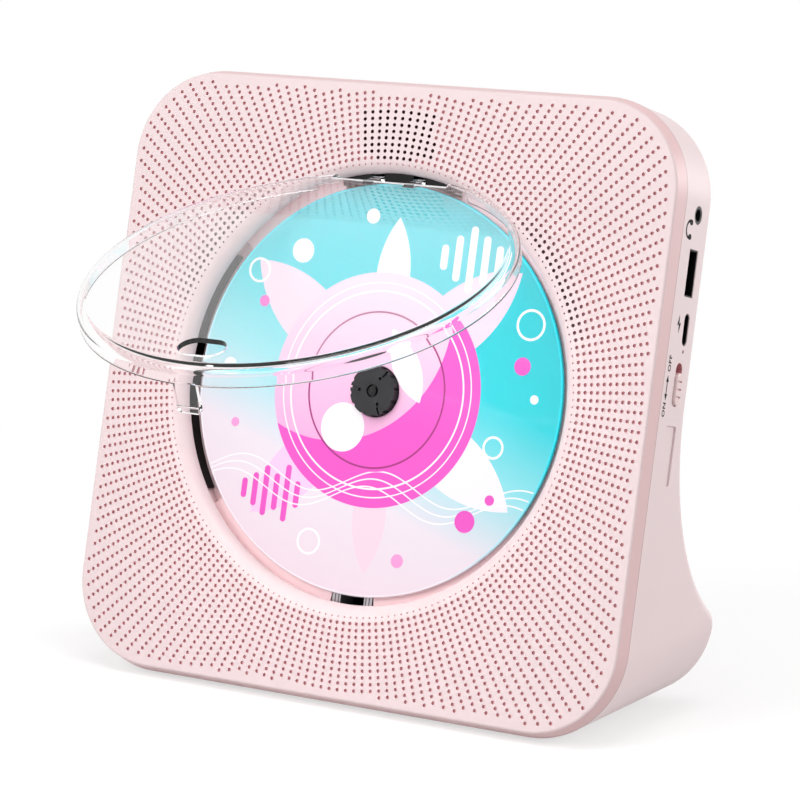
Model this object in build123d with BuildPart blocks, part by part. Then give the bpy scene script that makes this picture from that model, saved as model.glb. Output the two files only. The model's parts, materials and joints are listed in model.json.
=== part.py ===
"""Desktop CD player: perforated front, clear swing-up lid, flared foot.

Millimetres. +Z is up, the front faces -Y, the origin is the middle of the
foot's footprint at the level of the floor.
"""
from build123d import *
from math import atan2, cos, degrees, hypot, radians, sin, sqrt
import os

os.makedirs("parts", exist_ok=True)

# ---------------------------------------------------------------- front face
face_width = 178.0
face_height = 178.6
face_drop = 0.4            # the face sits this much below the disc axis
face_corner = 25.8
bevel_side = 1.4
bevel_depth = 4.8
face_thickness = 2.0
front_wall = 1.8
lip_radius = 3.2
bay_wall = 1.8
collar_level = -5.0        # where the collar of the face meets the well

# ---------------------------------------------------------------- placing
panel_tilt = 10.8          # degrees the front leans back
foot_pad_proud = 1.0       # rubber feet below the shell
front_lift = 0.214         # lowest edge of the front piece above the shell's underside
axis_y = -22.0             # disc axis at the front face, front to back

tilt_cos = cos(radians(panel_tilt))
tilt_sin = sin(radians(panel_tilt))
face_low_edge = face_height / 2 + face_drop + bevel_side
axis_height = (
    face_low_edge * tilt_cos + bevel_depth * tilt_sin + front_lift + foot_pad_proud
)
axis_point = Vector(0, axis_y, axis_height)
panel = Plane(origin=axis_point, x_dir=(1, 0, 0), z_dir=(0, -tilt_cos, tilt_sin))
side_plane = Plane(origin=axis_point, x_dir=(0, tilt_sin, tilt_cos), z_dir=(1, 0, 0))
upright_side = Plane(origin=axis_point, x_dir=(0, 1, 0), z_dir=(1, 0, 0))

# ---------------------------------------------------------------- clearances
seat_gap = 0.05            # between pieces that rest on each other
fit_gap = 0.15             # round a piece in its pocket
pin_gap = 0.05             # radial, turning on a pin
slide_gap = 0.25           # round a sliding piece

# ---------------------------------------------------------------- rear shell
shell_step = 0.2           # the shell stands in by this much behind the front piece
face_top_v = face_height / 2 - face_drop
shell_half_width = face_width / 2 + bevel_side - shell_step
shell_top = face_top_v + bevel_side - shell_step
shell_corner = face_corner + bevel_side - shell_step
shell_wall = 2.2
wall_outside = shell_half_width
wall_inside = shell_half_width - shell_wall
corner_u = face_width / 2 - face_corner              # middle of the face's corners
corner_v = face_top_v - face_corner
flare_start = 6.0          # height on the panel where the foot begins to flare
flare_radius = 60.0
foot_back = 57.3           # back of the foot behind the disc axis point
foot_shoulder = 8.0
back_edge = 5.0

# ---------------------------------------------------------------- disc and well
disc_radius = 60.0
disc_hole = 7.5
disc_thickness = 1.2
disc_seat = -7.5           # underside of the disc
disc_room = 4.0            # from the disc to the wall of the bay
bay_radius = disc_radius + disc_room
well_outer = bay_radius + bay_wall
well_floor = disc_seat - 3.3
well_floor_thickness = 1.8
floor_back = well_floor - well_floor_thickness
trim_thickness = 0.9
trim_half_angle = 33.0

# ---------------------------------------------------------------- lid
lid_room = 2.1             # from the lid to the wall of the bay
lid_radius = bay_radius - lid_room
lid_skirt = 1.3
lid_plate = 1.5
lid_height = 6.1
lid_rim = -8.0             # level of the rim when the lid is shut
lid_corner = 3.0
lid_open_angle = 58.0
hinge_inset = 2.6          # hinge axis in from the wall of the bay
hinge_v = bay_radius - hinge_inset
hinge_w = -5.0
hinge_pin_radius = 0.6
lug_radius = 1.25
lug_inner = 5.0
lug_width = 3.5
notch_edge_gap = 6.9       # from the hinge axis to the straight edge of the notch
notch_edge_v = hinge_v - notch_edge_gap
notch_side_gap = 0.13      # from the ends of the hinge cover to the notch
relief_half_angle = 24.0   # here the skirt is shorter, so that it swings over the disc
relief_level = disc_seat + 1.3
finger_hole_length = 14.0
finger_hole_width = 9.0
finger_hole_inset = 10.9
finger_hole_v = finger_hole_inset - lid_radius
tab_width = 7.0
tab_length = 8.3
tab_thickness = 1.3

# ---------------------------------------------------------------- drive
hub_gap = 0.2              # between the hub and the hole of the disc
hub_radius = disc_hole - hub_gap
hub_top = -4.0
turntable_radius = 14.0
turntable_thickness = 1.5
shaft_radius = 1.0
chassis_top = floor_back - 1.2
chassis_thickness = 1.2
chassis_bottom = chassis_top - chassis_thickness
spindle_motor_radius = 11.0
spindle_motor_height = 7.4
motor_top = chassis_bottom - seat_gap
motor_bottom = motor_top - spindle_motor_height
rod_radius = 1.5
rod_v = 18.0
rod_level = chassis_bottom - 3.8
sled_start = -25.0         # lens radius at the first track
sled_length = 22.0
sled_width = 43.0
sled_top = chassis_bottom - 0.6
sled_thickness = 6.2
lens_radius = 2.4
lens_height = 2.8
lens_gap = 2.1             # between the lens and the disc
screw_offset = 9.0         # lead screw beyond the lower rod
screw_v = -rod_v - screw_offset
screw_drop = 0.7           # lead screw behind the rods
screw_level = rod_level - screw_drop
lead_screw_radius = 1.4
sled_motor_radius = 4.2
sled_motor_length = 12.8
motor_back_gap = 1.55      # from the spindle motor to the back wall
sled_motor_back_gap = 0.3
shell_back_inside = min(
    motor_bottom - motor_back_gap,
    screw_level - sled_motor_radius - sled_motor_back_gap,
)
shell_back = shell_back_inside - shell_wall

# ---------------------------------------------------------------- side ports
port_board_level = -17.7   # sockets stand on this face of the board
board_thickness = 1.2
board_edge_gap = 1.9       # side boards to the wall, clear of a pressed button
board_edge = wall_inside - board_edge_gap
aux_drop = 3.2             # below the end of the straight wall
aux_v = corner_v - aux_drop
aux_level = port_board_level + 3.0
aux_bore_radius = 1.8
aux_nose_radius = 2.5
usb_a_drop = 16.4          # each below the one above it
usb_a_v = aux_v - usb_a_drop
usb_a_length = 13.1
usb_a_height = 5.7
usb_c_drop = 15.8
usb_c_v = usb_a_v - usb_c_drop
usb_c_length = 8.94
usb_c_height = 3.26
socket_wall = 0.3
light_drop = 6.2
light_v = usb_c_v - light_drop
light_level = port_board_level + 1.6
light_radius = 0.5
power_drop = 9.4
power_v = light_v - power_drop
power_level = port_board_level + 2.7
power_slot_length = 12.3
power_slot_width = 4.4
power_slot_corner = 2.0
power_knob_length = 9.2
power_travel = 2.5         # from ON at the lower end to OFF
button_radius = 3.6
button_level = port_board_level + 3.0
button_pitch = 12.0
button_count = 5
button_drop = 11.1         # top button below the end of the straight wall
button_first_v = corner_v - button_drop - button_pitch * (button_count - 1)
button_proud = 0.8
recess_drop = 20.2
recess_v = power_v - recess_drop
recess_level = port_board_level + 2.9
recess_length = 17.0
recess_width = 6.8
recess_depth = 0.5

# ---------------------------------------------------------------- sound, power
speaker_radius = 18.0      # halfway between the bay and the inside of the corner
corner_reach = hypot(corner_u, corner_v)
speaker_reach = (well_outer + corner_reach + face_corner - front_wall) / 2
speaker_u = speaker_reach * corner_u / corner_reach
speaker_v = speaker_reach * corner_v / corner_reach
display_length = 28.0      # the display fills the room between bay and top wall
display_rim = 0.4
display_low_gap = 0.6
display_top_gap = 4.3
display_low_v = well_outer + display_low_gap + display_rim
display_top_v = face_top_v - front_wall - display_top_gap - display_rim
display_height = display_top_v - display_low_v
display_v = (display_low_v + display_top_v) / 2
board_level = chassis_bottom - 3.4     # front face of the main board
main_board_drop = 13.6     # middle of the board below the middle of the display
main_board_v = display_v - main_board_drop
main_board_length = 68.0
main_board_height = 42.0
port_board_width = 18.0
port_board_over = 6.0      # beyond the middle of the audio jack
port_board_under = 26.1    # beyond the middle of the power switch
port_board_low_v = power_v - port_board_under
case_head_depth = 3.7      # heads of the case screws rest this deep
case_head_level = shell_back + case_head_depth
case_screw_u = 40.0
case_screw_top_inset = 4.9
case_screw_side_inset = 7.5
case_screw_under = 10.0    # below the port board
case_screw_top_v = face_top_v - case_screw_top_inset
case_screw_side_u = wall_inside - case_screw_side_inset
case_screw_low_v = port_board_low_v - case_screw_under
case_screw_places = [
    (-case_screw_u, case_screw_top_v),
    (case_screw_u, case_screw_top_v),
    (-case_screw_side_u, case_screw_low_v),
    (case_screw_side_u, case_screw_low_v),
]
well_screw_radius = bay_radius + 6.0
well_screw_places = [
    (well_screw_radius * cos(radians(a)), well_screw_radius * sin(radians(a)))
    for a in (35, 145, 215, 325)
]
case_shank_radius = 1.2
well_shank_radius = 0.8
hinge_shank_radius = 0.6
drive_shank_radius = 0.85
board_shank_radius = 0.9
base_shank_radius = 1.0
drive_side_gap = 13.0      # from the drive to the left wall
chassis_left = drive_side_gap - wall_inside
damper_v = 31.0
damper_right_u = 18.0
damper_low_u = 2.0
damper_end_inset = 9.0
damper_left_u = chassis_left + damper_end_inset
damper_places = [
    (damper_right_u, damper_v),
    (damper_low_u, -damper_v),
    (damper_left_u, damper_v),
    (damper_left_u, -damper_v),
]
hinge_screw_u = 13.6
hinge_screw_v = hinge_v - 0.6
hinge_screw_places = [(-hinge_screw_u, hinge_screw_v), (hinge_screw_u, hinge_screw_v)]
board_post_u = main_board_length / 2 - 4.0
board_post_offset = main_board_height / 2 - 5.0
board_post_places = [
    (u, main_board_v + offset)
    for offset in (-board_post_offset, board_post_offset)
    for u in (-board_post_u, board_post_u)
]
cover_end_margin = 5.2     # base cover in from the ends of the flat underside
cover_length = 2 * (shell_half_width - shell_corner - cover_end_margin)
cover_depth = 49.0
foot_radius = 5.0
foot_sunk = 0.4            # the rubber feet sit this deep in the base cover
foot_end_inset = 14.0
foot_side_inset = 5.5
base_screw_inset = 4.0


def four_places(across, along):
    """The four corners of an oblong round the origin."""
    return [(-across, -along), (across, -along), (-across, along), (across, along)]


foot_places = four_places(cover_length / 2 - foot_end_inset, cover_depth / 2 - foot_side_inset)
base_screw_places = four_places(
    cover_length / 2 - base_screw_inset, cover_depth / 2 - base_screw_inset
)


def on_panel(level):
    """Plane parallel to the front face, at a level along its outward normal."""
    return panel.offset(level)


def on_side(x):
    """Upright plane facing +X; its own axes run up the panel and out of it."""
    return side_plane.offset(x)


def save(piece, label):
    """Name the finished piece and write it out."""
    piece.part.label = label
    export_step(piece.part, "parts/" + label + ".step")


def wedge(middle_angle, half_angle, reach):
    """Corner piece from the middle of the open sketch, used to keep a sector."""
    spread = [middle_angle - half_angle, middle_angle, middle_angle + half_angle]
    corners = [(reach * cos(radians(a)), reach * sin(radians(a))) for a in spread]
    Polygon((0, 0), *corners, align=None)


def level_of(point):
    """Height of a point above the front face plane, along its normal."""
    return panel.to_local_coords(point).Z


def pan_screws(plane, places, head, shank, label):
    """Screws standing on a plane: heads behind it, shanks in front of it."""
    head_radius, head_height = head
    shank_radius, shank_length = shank
    with BuildPart() as screws:
        with BuildSketch(plane):
            with Locations(*places):
                Circle(head_radius)
        extrude(amount=-head_height)
        with BuildSketch(plane):
            with Locations(*places):
                Circle(shank_radius)
        extrude(amount=shank_length)
        with BuildSketch(plane.offset(-head_height)):
            with Locations(*places):
                Rectangle(head_radius * 1.1, 0.4)
                Rectangle(0.4, head_radius * 1.1)
        extrude(amount=head_height * 0.5, mode=Mode.SUBTRACT)
    save(screws, label)


# ================================================================ front grille
bevel_angle = degrees(atan2(bevel_side, bevel_depth))
face_middle = (0, -face_drop)
case_boss_radius = 3.2
case_boss_end = -12.0
case_screw_hole_depth = 7.0
well_boss_radius = 2.6
well_screw_hole_depth = 5.0
with BuildPart() as front_grille:
    with BuildSketch(on_panel(-bevel_depth)):
        with Locations(face_middle):
            RectangleRounded(
                face_width + 2 * bevel_side,
                face_height + 2 * bevel_side,
                face_corner + bevel_side,
            )
    extrude(amount=bevel_depth, taper=bevel_angle)
    with BuildSketch(on_panel(-face_thickness)):
        with Locations(face_middle):
            RectangleRounded(
                face_width - 2 * front_wall,
                face_height - 2 * front_wall,
                face_corner - front_wall,
            )
    extrude(amount=-bevel_depth, mode=Mode.SUBTRACT)
    # collar of the disc bay, then its rounded lip
    with BuildSketch(on_panel(collar_level)):
        Circle(bay_radius + bay_wall)
    extrude(amount=-face_thickness - collar_level)
    with BuildSketch(panel):
        Circle(bay_radius)
    extrude(amount=collar_level - 1, mode=Mode.SUBTRACT)
    bay_edges = front_grille.edges().filter_by(
        lambda e: e.geom_type == GeomType.CIRCLE and abs(e.radius - bay_radius) < 0.01
    )
    fillet(bay_edges.sort_by(lambda e: level_of(e @ 0))[-1], lip_radius)
    # bosses for the case screws and for the screws of the well
    with BuildSketch(on_panel(case_boss_end)):
        with Locations(*case_screw_places):
            Circle(case_boss_radius)
    extrude(amount=-face_thickness - case_boss_end)
    with BuildSketch(on_panel(well_floor + seat_gap)):
        with Locations(*well_screw_places):
            Circle(well_boss_radius)
    extrude(amount=-face_thickness - well_floor - seat_gap)
    with BuildSketch(on_panel(case_boss_end)):
        with Locations(*case_screw_places):
            Circle(case_shank_radius)
    extrude(amount=case_screw_hole_depth, mode=Mode.SUBTRACT)
    with BuildSketch(on_panel(well_floor)):
        with Locations(*well_screw_places):
            Circle(well_shank_radius)
    extrude(amount=well_screw_hole_depth, mode=Mode.SUBTRACT)
save(front_grille, "front_grille")

# ================================================================ disc well
ear_inner_u = -50.0        # the floor runs on to the left, over the end of the drive
ear_overhang = 0.5
ear_outer_u = chassis_left - ear_overhang
ear_height = 72.0
well_lug_radius = 5.6
well_lug_shift = 2.1       # lugs sit this much inwards of their screws
well_lug_share = 1 - well_lug_shift / well_screw_radius
turret_half_width = 6.0
turret_wall_gap = 1.2      # turret opening to the wall of the bay
turret_reach = bay_radius - turret_wall_gap
turret_room = 2.0
turntable_room = 1.5
damper_post_radius = 1.6
damper_post_length = 3.5
tab_room_outer = 0.8       # lid tab in its slot
tab_room_inner = 0.45
tab_room_side = 0.4
receiver_outer_wall = 0.9
receiver_inner_wall = 1.25
receiver_half_width = tab_width / 2 + 3.2
receiver_step_v = -lid_radius - tab_room_outer     # the lid's rim comes down inside this
receiver_outer_v = receiver_step_v - receiver_outer_wall
catch_slot_inner_v = tab_thickness + tab_room_inner - lid_radius
receiver_inner_v = catch_slot_inner_v + receiver_inner_wall
receiver_top = -6.7
receiver_step_top = lid_rim - slide_gap
receiver_bottom = floor_back - 3.4
with BuildPart() as disc_well:
    with BuildSketch(on_panel(floor_back)):
        Circle(well_outer)
        with Locations(((ear_inner_u + ear_outer_u) / 2, 0)):
            Rectangle(ear_inner_u - ear_outer_u, ear_height)
        for u, v in well_screw_places:
            with Locations((u * well_lug_share, v * well_lug_share)):
                Circle(well_lug_radius)
    extrude(amount=well_floor_thickness)
    with BuildSketch(on_panel(well_floor)):
        Circle(well_outer)
        Circle(bay_radius, mode=Mode.SUBTRACT)
    extrude(amount=collar_level - seat_gap - well_floor)
    # openings for the turntable, the pickup turret and the lid catch
    with BuildSketch(on_panel(floor_back)):
        Circle(turntable_radius + turntable_room)
        with Locations((-turret_reach / 2, 0)):
            Rectangle(turret_reach, 2 * (turret_half_width + turret_room))
        with Locations((0, (receiver_outer_v + receiver_inner_v) / 2)):
            Rectangle(
                2 * (receiver_half_width + fit_gap),
                receiver_inner_v - receiver_outer_v + 2 * fit_gap,
            )
        with Locations(*well_screw_places):
            Circle(well_shank_radius + fit_gap)
        with Locations(*hinge_screw_places):
            Circle(hinge_shank_radius + fit_gap)
    extrude(amount=well_floor_thickness, mode=Mode.SUBTRACT)
    # posts that carry the rubber rings of the drive
    with BuildSketch(on_panel(floor_back)):
        with Locations(*damper_places):
            Circle(damper_post_radius)
            Circle(drive_shank_radius, mode=Mode.SUBTRACT)
    extrude(amount=-damper_post_length)
save(disc_well, "disc_well")

# ---------------------------------------------------------------- bay trims
trim_outer = bay_radius - seat_gap
for trim_name, middle in (("bay_trim_left", 180), ("bay_trim_right", 0)):
    with BuildPart() as bay_trim:
        with BuildSketch(on_panel(well_floor + seat_gap)):
            wedge(middle, trim_half_angle, 2 * bay_radius)
            Circle(trim_outer, mode=Mode.INTERSECT)
            Circle(trim_outer - trim_thickness, mode=Mode.SUBTRACT)
        extrude(amount=collar_level - 2 * seat_gap - well_floor)
    save(bay_trim, trim_name)

# ================================================================ lid and hinge
cover_inner = disc_radius + 0.6
cover_outer = bay_radius - fit_gap
cover_top = hinge_w + 1.3
cover_half_angle = 17.0
lug_slot_depth = 3.4
lug_slot_height = 8.0
hinge_pin_overhang = 1.4   # the pins run this far into the cover beside each lug
hinge_screw_hole_depth = 3.6
lug_middle = lug_inner + lug_width / 2
with BuildPart() as hinge_cover:
    with BuildSketch(on_panel(well_floor + seat_gap)):
        wedge(90, cover_half_angle, 2 * bay_radius)
        Circle(cover_outer, mode=Mode.INTERSECT)
        Circle(cover_inner, mode=Mode.SUBTRACT)
    extrude(amount=cover_top - well_floor - seat_gap)
    # slots the lid lugs swing in, and the bores of the two pins
    for side in (-1, 1):
        with BuildSketch(on_panel(cover_top)):
            with Locations((side * lug_middle, hinge_v)):
                Rectangle(lug_width + 2 * slide_gap, lug_slot_height)
        extrude(amount=-lug_slot_depth, mode=Mode.SUBTRACT)
        with BuildSketch(on_side(side * lug_middle)):
            with Locations((hinge_v, hinge_w)):
                Circle(hinge_pin_radius)
        extrude(amount=lug_width / 2 + hinge_pin_overhang, both=True, mode=Mode.SUBTRACT)
    with BuildSketch(on_panel(well_floor)):
        with Locations(*hinge_screw_places):
            Circle(hinge_shank_radius)
    extrude(amount=hinge_screw_hole_depth, mode=Mode.SUBTRACT)
save(hinge_cover, "hinge_cover")

with BuildPart() as hinge_pins:
    for side in (-1, 1):
        with BuildSketch(on_side(side * lug_middle)):
            with Locations((hinge_v, hinge_w)):
                Circle(hinge_pin_radius)
        extrude(amount=lug_width / 2 + hinge_pin_overhang, both=True)
save(hinge_pins, "hinge_pins")

# The lid is drawn as if shut, on a plane already swung open about the hinge.
open_cos = cos(radians(lid_open_angle))
open_sin = sin(radians(lid_open_angle))
lid_origin = panel.from_local_coords(
    (
        0,
        hinge_v - hinge_v * open_cos - hinge_w * open_sin,
        hinge_w + hinge_v * open_sin - hinge_w * open_cos,
    )
)
lid_normal = panel.from_local_coords((0, open_sin, open_cos)) - panel.origin
lid_plane = Plane(origin=lid_origin, x_dir=(1, 0, 0), z_dir=lid_normal)
lid_side = Plane(origin=lid_origin, x_dir=lid_plane.y_dir, z_dir=(1, 0, 0))
plate_under = lid_rim + lid_height - lid_plate
notch_half_width = cover_outer * sin(radians(cover_half_angle)) + notch_side_gap
lug_root_radius = 0.8
catch_radius = 0.35
catch_height = 2.0         # above the end of the tab
with BuildPart() as lid_hollow:
    with BuildSketch(lid_plane.offset(lid_rim - 1)):
        Circle(lid_radius - lid_skirt)
    extrude(amount=lid_height - lid_plate + 1)
    hollow_top = lid_hollow.faces().sort_by(lambda f: lid_plane.to_local_coords(f.center()).Z)[-1]
    fillet(hollow_top.edges(), lid_corner / 2)

with BuildPart() as lid:
    with BuildSketch(lid_plane.offset(lid_rim)):
        Circle(lid_radius)
    extrude(amount=lid_height)
    top_edge = lid.faces().sort_by(lambda f: lid_plane.to_local_coords(f.center()).Z)[-1]
    fillet(top_edge.edges(), lid_corner)
    add(lid_hollow.part, mode=Mode.SUBTRACT)
    # notch round the hinge cover, with a shorter skirt on both sides of it
    with BuildSketch(lid_plane.offset(lid_rim - 1)):
        wedge(90, relief_half_angle, 2 * lid_radius)
        Circle(lid_radius - lid_corner - 1, mode=Mode.SUBTRACT)
    extrude(amount=relief_level - lid_rim + 1, mode=Mode.SUBTRACT)
    with BuildSketch(lid_plane.offset(lid_rim - 1)):
        with Locations((0, notch_edge_v)):
            Rectangle(2 * notch_half_width, lid_radius, align=(Align.CENTER, Align.MIN))
    extrude(amount=lid_height + 2, mode=Mode.SUBTRACT)
    with BuildSketch(lid_plane.offset(plate_under - 1)):
        with Locations((0, finger_hole_v)):
            SlotOverall(finger_hole_length, finger_hole_width)
    extrude(amount=lid_plate + 2, mode=Mode.SUBTRACT)
    # lugs on the pins
    for side in (-1, 1):
        with BuildSketch(lid_side.offset(side * lug_middle)):
            with Locations((hinge_v, hinge_w)):
                Circle(lug_radius)
            with Locations((notch_edge_v - 1, plate_under + lid_plate / 3)):
                Circle(lug_root_radius)
            make_hull()
            with Locations((hinge_v, hinge_w)):
                Circle(hinge_pin_radius + pin_gap, mode=Mode.SUBTRACT)
        extrude(amount=lug_width / 2, both=True)
    # latch tab with its small catch
    with BuildSketch(lid_side):
        with Locations((-lid_radius, lid_rim + 1)):
            Rectangle(tab_thickness, tab_length + 1, align=(Align.MIN, Align.MAX))
        with Locations((-lid_radius, lid_rim - tab_length + catch_height)):
            Circle(catch_radius)
    extrude(amount=tab_width / 2, both=True)
save(lid, "lid")

receiver_flange = 1.2
receiver_flange_width = 19.0
receiver_flange_lip = 1.5
with BuildPart() as latch_receiver:
    for inner_v, top in ((receiver_step_v, receiver_top), (receiver_inner_v, receiver_step_top)):
        with BuildSketch(on_panel(receiver_bottom)):
            with Locations((0, (receiver_outer_v + inner_v) / 2)):
                Rectangle(2 * receiver_half_width, inner_v - receiver_outer_v)
        extrude(amount=top - receiver_bottom)
    with BuildSketch(on_panel(floor_back - seat_gap)):
        with Locations((0, (receiver_outer_v + receiver_inner_v) / 2)):
            Rectangle(
                receiver_flange_width,
                receiver_inner_v - receiver_outer_v + 2 * receiver_flange_lip,
            )
    extrude(amount=-receiver_flange)
    with BuildSketch(on_panel(receiver_bottom - 1)):
        with Locations((0, (receiver_step_v + catch_slot_inner_v) / 2)):
            Rectangle(tab_width + 2 * tab_room_side, catch_slot_inner_v - receiver_step_v)
    extrude(amount=receiver_top - receiver_bottom + 2, mode=Mode.SUBTRACT)
save(latch_receiver, "latch_receiver")

# ================================================================ spindle
turntable_top = disc_seat - seat_gap
turntable_bottom = turntable_top - turntable_thickness
shaft_top = -5.2
scallop_radius = 0.75
scallop_count = 12
slit_depth = 1.0
slit_length = 2.4
slit_width = 0.6
slit_radius = hub_radius - 1.0
slit_hole_reach = hub_radius - 3.0
slit_hole_radius = 0.5
dome_radius = 1.3
dome_groove = 0.6
with BuildPart() as spindle_hub:
    with BuildSketch(on_panel(turntable_bottom)):
        Circle(turntable_radius)
    extrude(amount=turntable_thickness)
    with BuildSketch(on_panel(turntable_top)):
        Circle(hub_radius)
        with PolarLocations(hub_radius + scallop_radius / 2, scallop_count, start_angle=10):
            Circle(scallop_radius, mode=Mode.SUBTRACT)
    extrude(amount=hub_top - turntable_top)
    # three spring slits, each with its small hole, and a dome in a ring groove
    with BuildSketch(on_panel(hub_top)):
        for slit_angle in (55, 175, 295):
            slit = radians(slit_angle)
            place = (slit_radius * cos(slit), slit_radius * sin(slit))
            with Locations(Location(place, slit_angle)):
                Rectangle(slit_length, slit_width)
            hole = radians(slit_angle + 6)
            with Locations((slit_hole_reach * cos(hole), slit_hole_reach * sin(hole))):
                Circle(slit_hole_radius)
        Circle(dome_radius + dome_groove)
        Circle(dome_radius, mode=Mode.SUBTRACT)
    extrude(amount=-slit_depth, mode=Mode.SUBTRACT)
    with BuildSketch(on_panel(turntable_bottom)):
        Circle(shaft_radius)
    extrude(amount=shaft_top - turntable_bottom, mode=Mode.SUBTRACT)
save(spindle_hub, "spindle_hub")

with BuildPart() as compact_disc:
    with BuildSketch(on_panel(disc_seat)):
        Circle(disc_radius)
        Circle(disc_hole, mode=Mode.SUBTRACT)
    extrude(amount=disc_thickness)
save(compact_disc, "compact_disc")

motor_boss_radius = 3.0
motor_boss_height = 1.0
with BuildPart() as spindle_motor:
    with BuildSketch(on_panel(motor_top)):
        Circle(spindle_motor_radius)
    extrude(amount=-spindle_motor_height)
    with BuildSketch(on_panel(motor_top)):
        Circle(motor_boss_radius)
    extrude(amount=motor_boss_height)
    with BuildSketch(on_panel(chassis_top)):
        Circle(shaft_radius + pin_gap)
    extrude(amount=motor_bottom - chassis_top, mode=Mode.SUBTRACT)
save(spindle_motor, "spindle_motor")

with BuildPart() as spindle_shaft:
    with BuildSketch(on_panel(shaft_top)):
        Circle(shaft_radius)
    extrude(amount=motor_bottom - shaft_top)
save(spindle_shaft, "spindle_shaft")

# ================================================================ drive chassis
chassis_right = 24.0
chassis_height = 72.0
chassis_corner = 4.0
chassis_window_left = -66.0
chassis_window_right = -16.0
chassis_window_height = 19.0
grommet_waist = 3.0
bracket_inner_u = -11.8
bracket_outer_u = chassis_left + 2.0
inner_thickness = 1.8
outer_thickness = 3.0
bracket_height = 6.4
bracket_bottom = rod_level - 2.2
screw_bracket_thickness = 1.6
screw_bracket_height = 5.0
screw_bracket_under = 2.4
rod_places = [(rod_v, rod_level), (-rod_v, rod_level)]
with BuildPart() as drive_chassis:
    with BuildSketch(on_panel(chassis_bottom)):
        with Locations(((chassis_left + chassis_right) / 2, 0)):
            RectangleRounded(chassis_right - chassis_left, chassis_height, chassis_corner)
        Circle(motor_boss_radius + fit_gap, mode=Mode.SUBTRACT)
        with Locations(((chassis_window_left + chassis_window_right) / 2, 0)):
            Rectangle(
                chassis_window_right - chassis_window_left,
                chassis_window_height,
                mode=Mode.SUBTRACT,
            )
        with Locations(*damper_places):
            Circle(grommet_waist + seat_gap, mode=Mode.SUBTRACT)
    extrude(amount=chassis_thickness)
    # brackets that hold the ends of the two rods, then the one for the screw
    inner_middle = bracket_inner_u - inner_thickness / 2
    outer_middle = bracket_outer_u + outer_thickness / 2
    for middle, thickness in ((inner_middle, inner_thickness), (outer_middle, outer_thickness)):
        with BuildSketch(on_panel(chassis_bottom)):
            with Locations((middle, rod_v), (middle, -rod_v)):
                Rectangle(thickness, bracket_height)
        extrude(amount=bracket_bottom - chassis_bottom)
    with BuildSketch(on_panel(chassis_bottom)):
        with Locations((bracket_outer_u + screw_bracket_thickness / 2, screw_v + 1)):
            Rectangle(screw_bracket_thickness, screw_bracket_height)
    extrude(amount=screw_level - screw_bracket_under - chassis_bottom)
    with BuildSketch(on_side(bracket_outer_u - 1)):
        with Locations(*rod_places):
            Circle(rod_radius)
        with Locations((screw_v, screw_level)):
            Circle(lead_screw_radius + pin_gap)
    extrude(amount=bracket_inner_u - bracket_outer_u + 2, mode=Mode.SUBTRACT)
save(drive_chassis, "drive_chassis")

with BuildPart() as guide_rods:
    with BuildSketch(on_side(bracket_outer_u)):
        with Locations(*rod_places):
            Circle(rod_radius)
    extrude(amount=bracket_inner_u - bracket_outer_u)
save(guide_rods, "guide_rods")

lens_top = disc_seat - lens_gap
lens_bottom = lens_top - lens_height
lens_sunk = 2.0
turret_top = lens_bottom + lens_sunk
turret_length = 8.0
nut_over = 2.1             # above the lead screw
nut_thickness = 4.8
nut_length = 10.0
nut_height = 8.0
nut_v = screw_v + 1.5
with BuildPart() as pickup_sled:
    with BuildSketch(on_panel(sled_top)):
        with Locations((sled_start, 0)):
            RectangleRounded(sled_length, sled_width, 2)
    extrude(amount=-sled_thickness)
    with BuildSketch(on_panel(sled_top)):
        with Locations((sled_start, 0)):
            RectangleRounded(turret_length, 2 * turret_half_width, 1.5)
    extrude(amount=turret_top - sled_top)
    with BuildSketch(on_panel(screw_level + nut_over)):
        with Locations((sled_start, nut_v)):
            Rectangle(nut_length, nut_height)
    extrude(amount=-nut_thickness)
    with BuildSketch(on_side(sled_start)):
        with Locations(*rod_places):
            Circle(rod_radius + pin_gap)
        with Locations((screw_v, screw_level)):
            Circle(lead_screw_radius + pin_gap)
    extrude(amount=sled_length, both=True, mode=Mode.SUBTRACT)
    with BuildSketch(on_panel(turret_top)):
        with Locations((sled_start, 0)):
            Circle(lens_radius + fit_gap)
    extrude(amount=lens_bottom - turret_top, mode=Mode.SUBTRACT)
save(pickup_sled, "pickup_sled")

with BuildPart() as pickup_lens:
    with BuildSketch(on_panel(lens_bottom)):
        with Locations((sled_start, 0)):
            Circle(lens_radius)
    extrude(amount=lens_height)
    fillet(pickup_lens.faces().sort_by(lambda f: level_of(f.center()))[-1].edges(), 0.8)
save(pickup_lens, "pickup_lens")

sled_motor_face = 10.2
with BuildPart() as lead_screw:
    with BuildSketch(on_side(bracket_outer_u)):
        with Locations((screw_v, screw_level)):
            Circle(lead_screw_radius)
    extrude(amount=sled_motor_face + sled_motor_length / 3 - bracket_outer_u)
save(lead_screw, "lead_screw")

with BuildPart() as sled_motor:
    with BuildSketch(on_side(sled_motor_face)):
        with Locations((screw_v, screw_level)):
            Circle(sled_motor_radius)
            Circle(lead_screw_radius + pin_gap, mode=Mode.SUBTRACT)
    extrude(amount=sled_motor_length)
save(sled_motor, "sled_motor")

grommet_radius = 4.6
grommet_lip = 1.1
grommet_layers = (
    (floor_back - seat_gap, grommet_radius, floor_back - seat_gap - chassis_top),
    (chassis_top, grommet_waist, chassis_thickness),
    (chassis_bottom, grommet_radius, grommet_lip),
)
with BuildPart() as damper_grommets:
    for level, radius, thickness in grommet_layers:
        with BuildSketch(on_panel(level)):
            with Locations(*damper_places):
                Circle(radius)
                Circle(damper_post_radius + seat_gap, mode=Mode.SUBTRACT)
        extrude(amount=-thickness)
save(damper_grommets, "damper_grommets")


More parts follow.
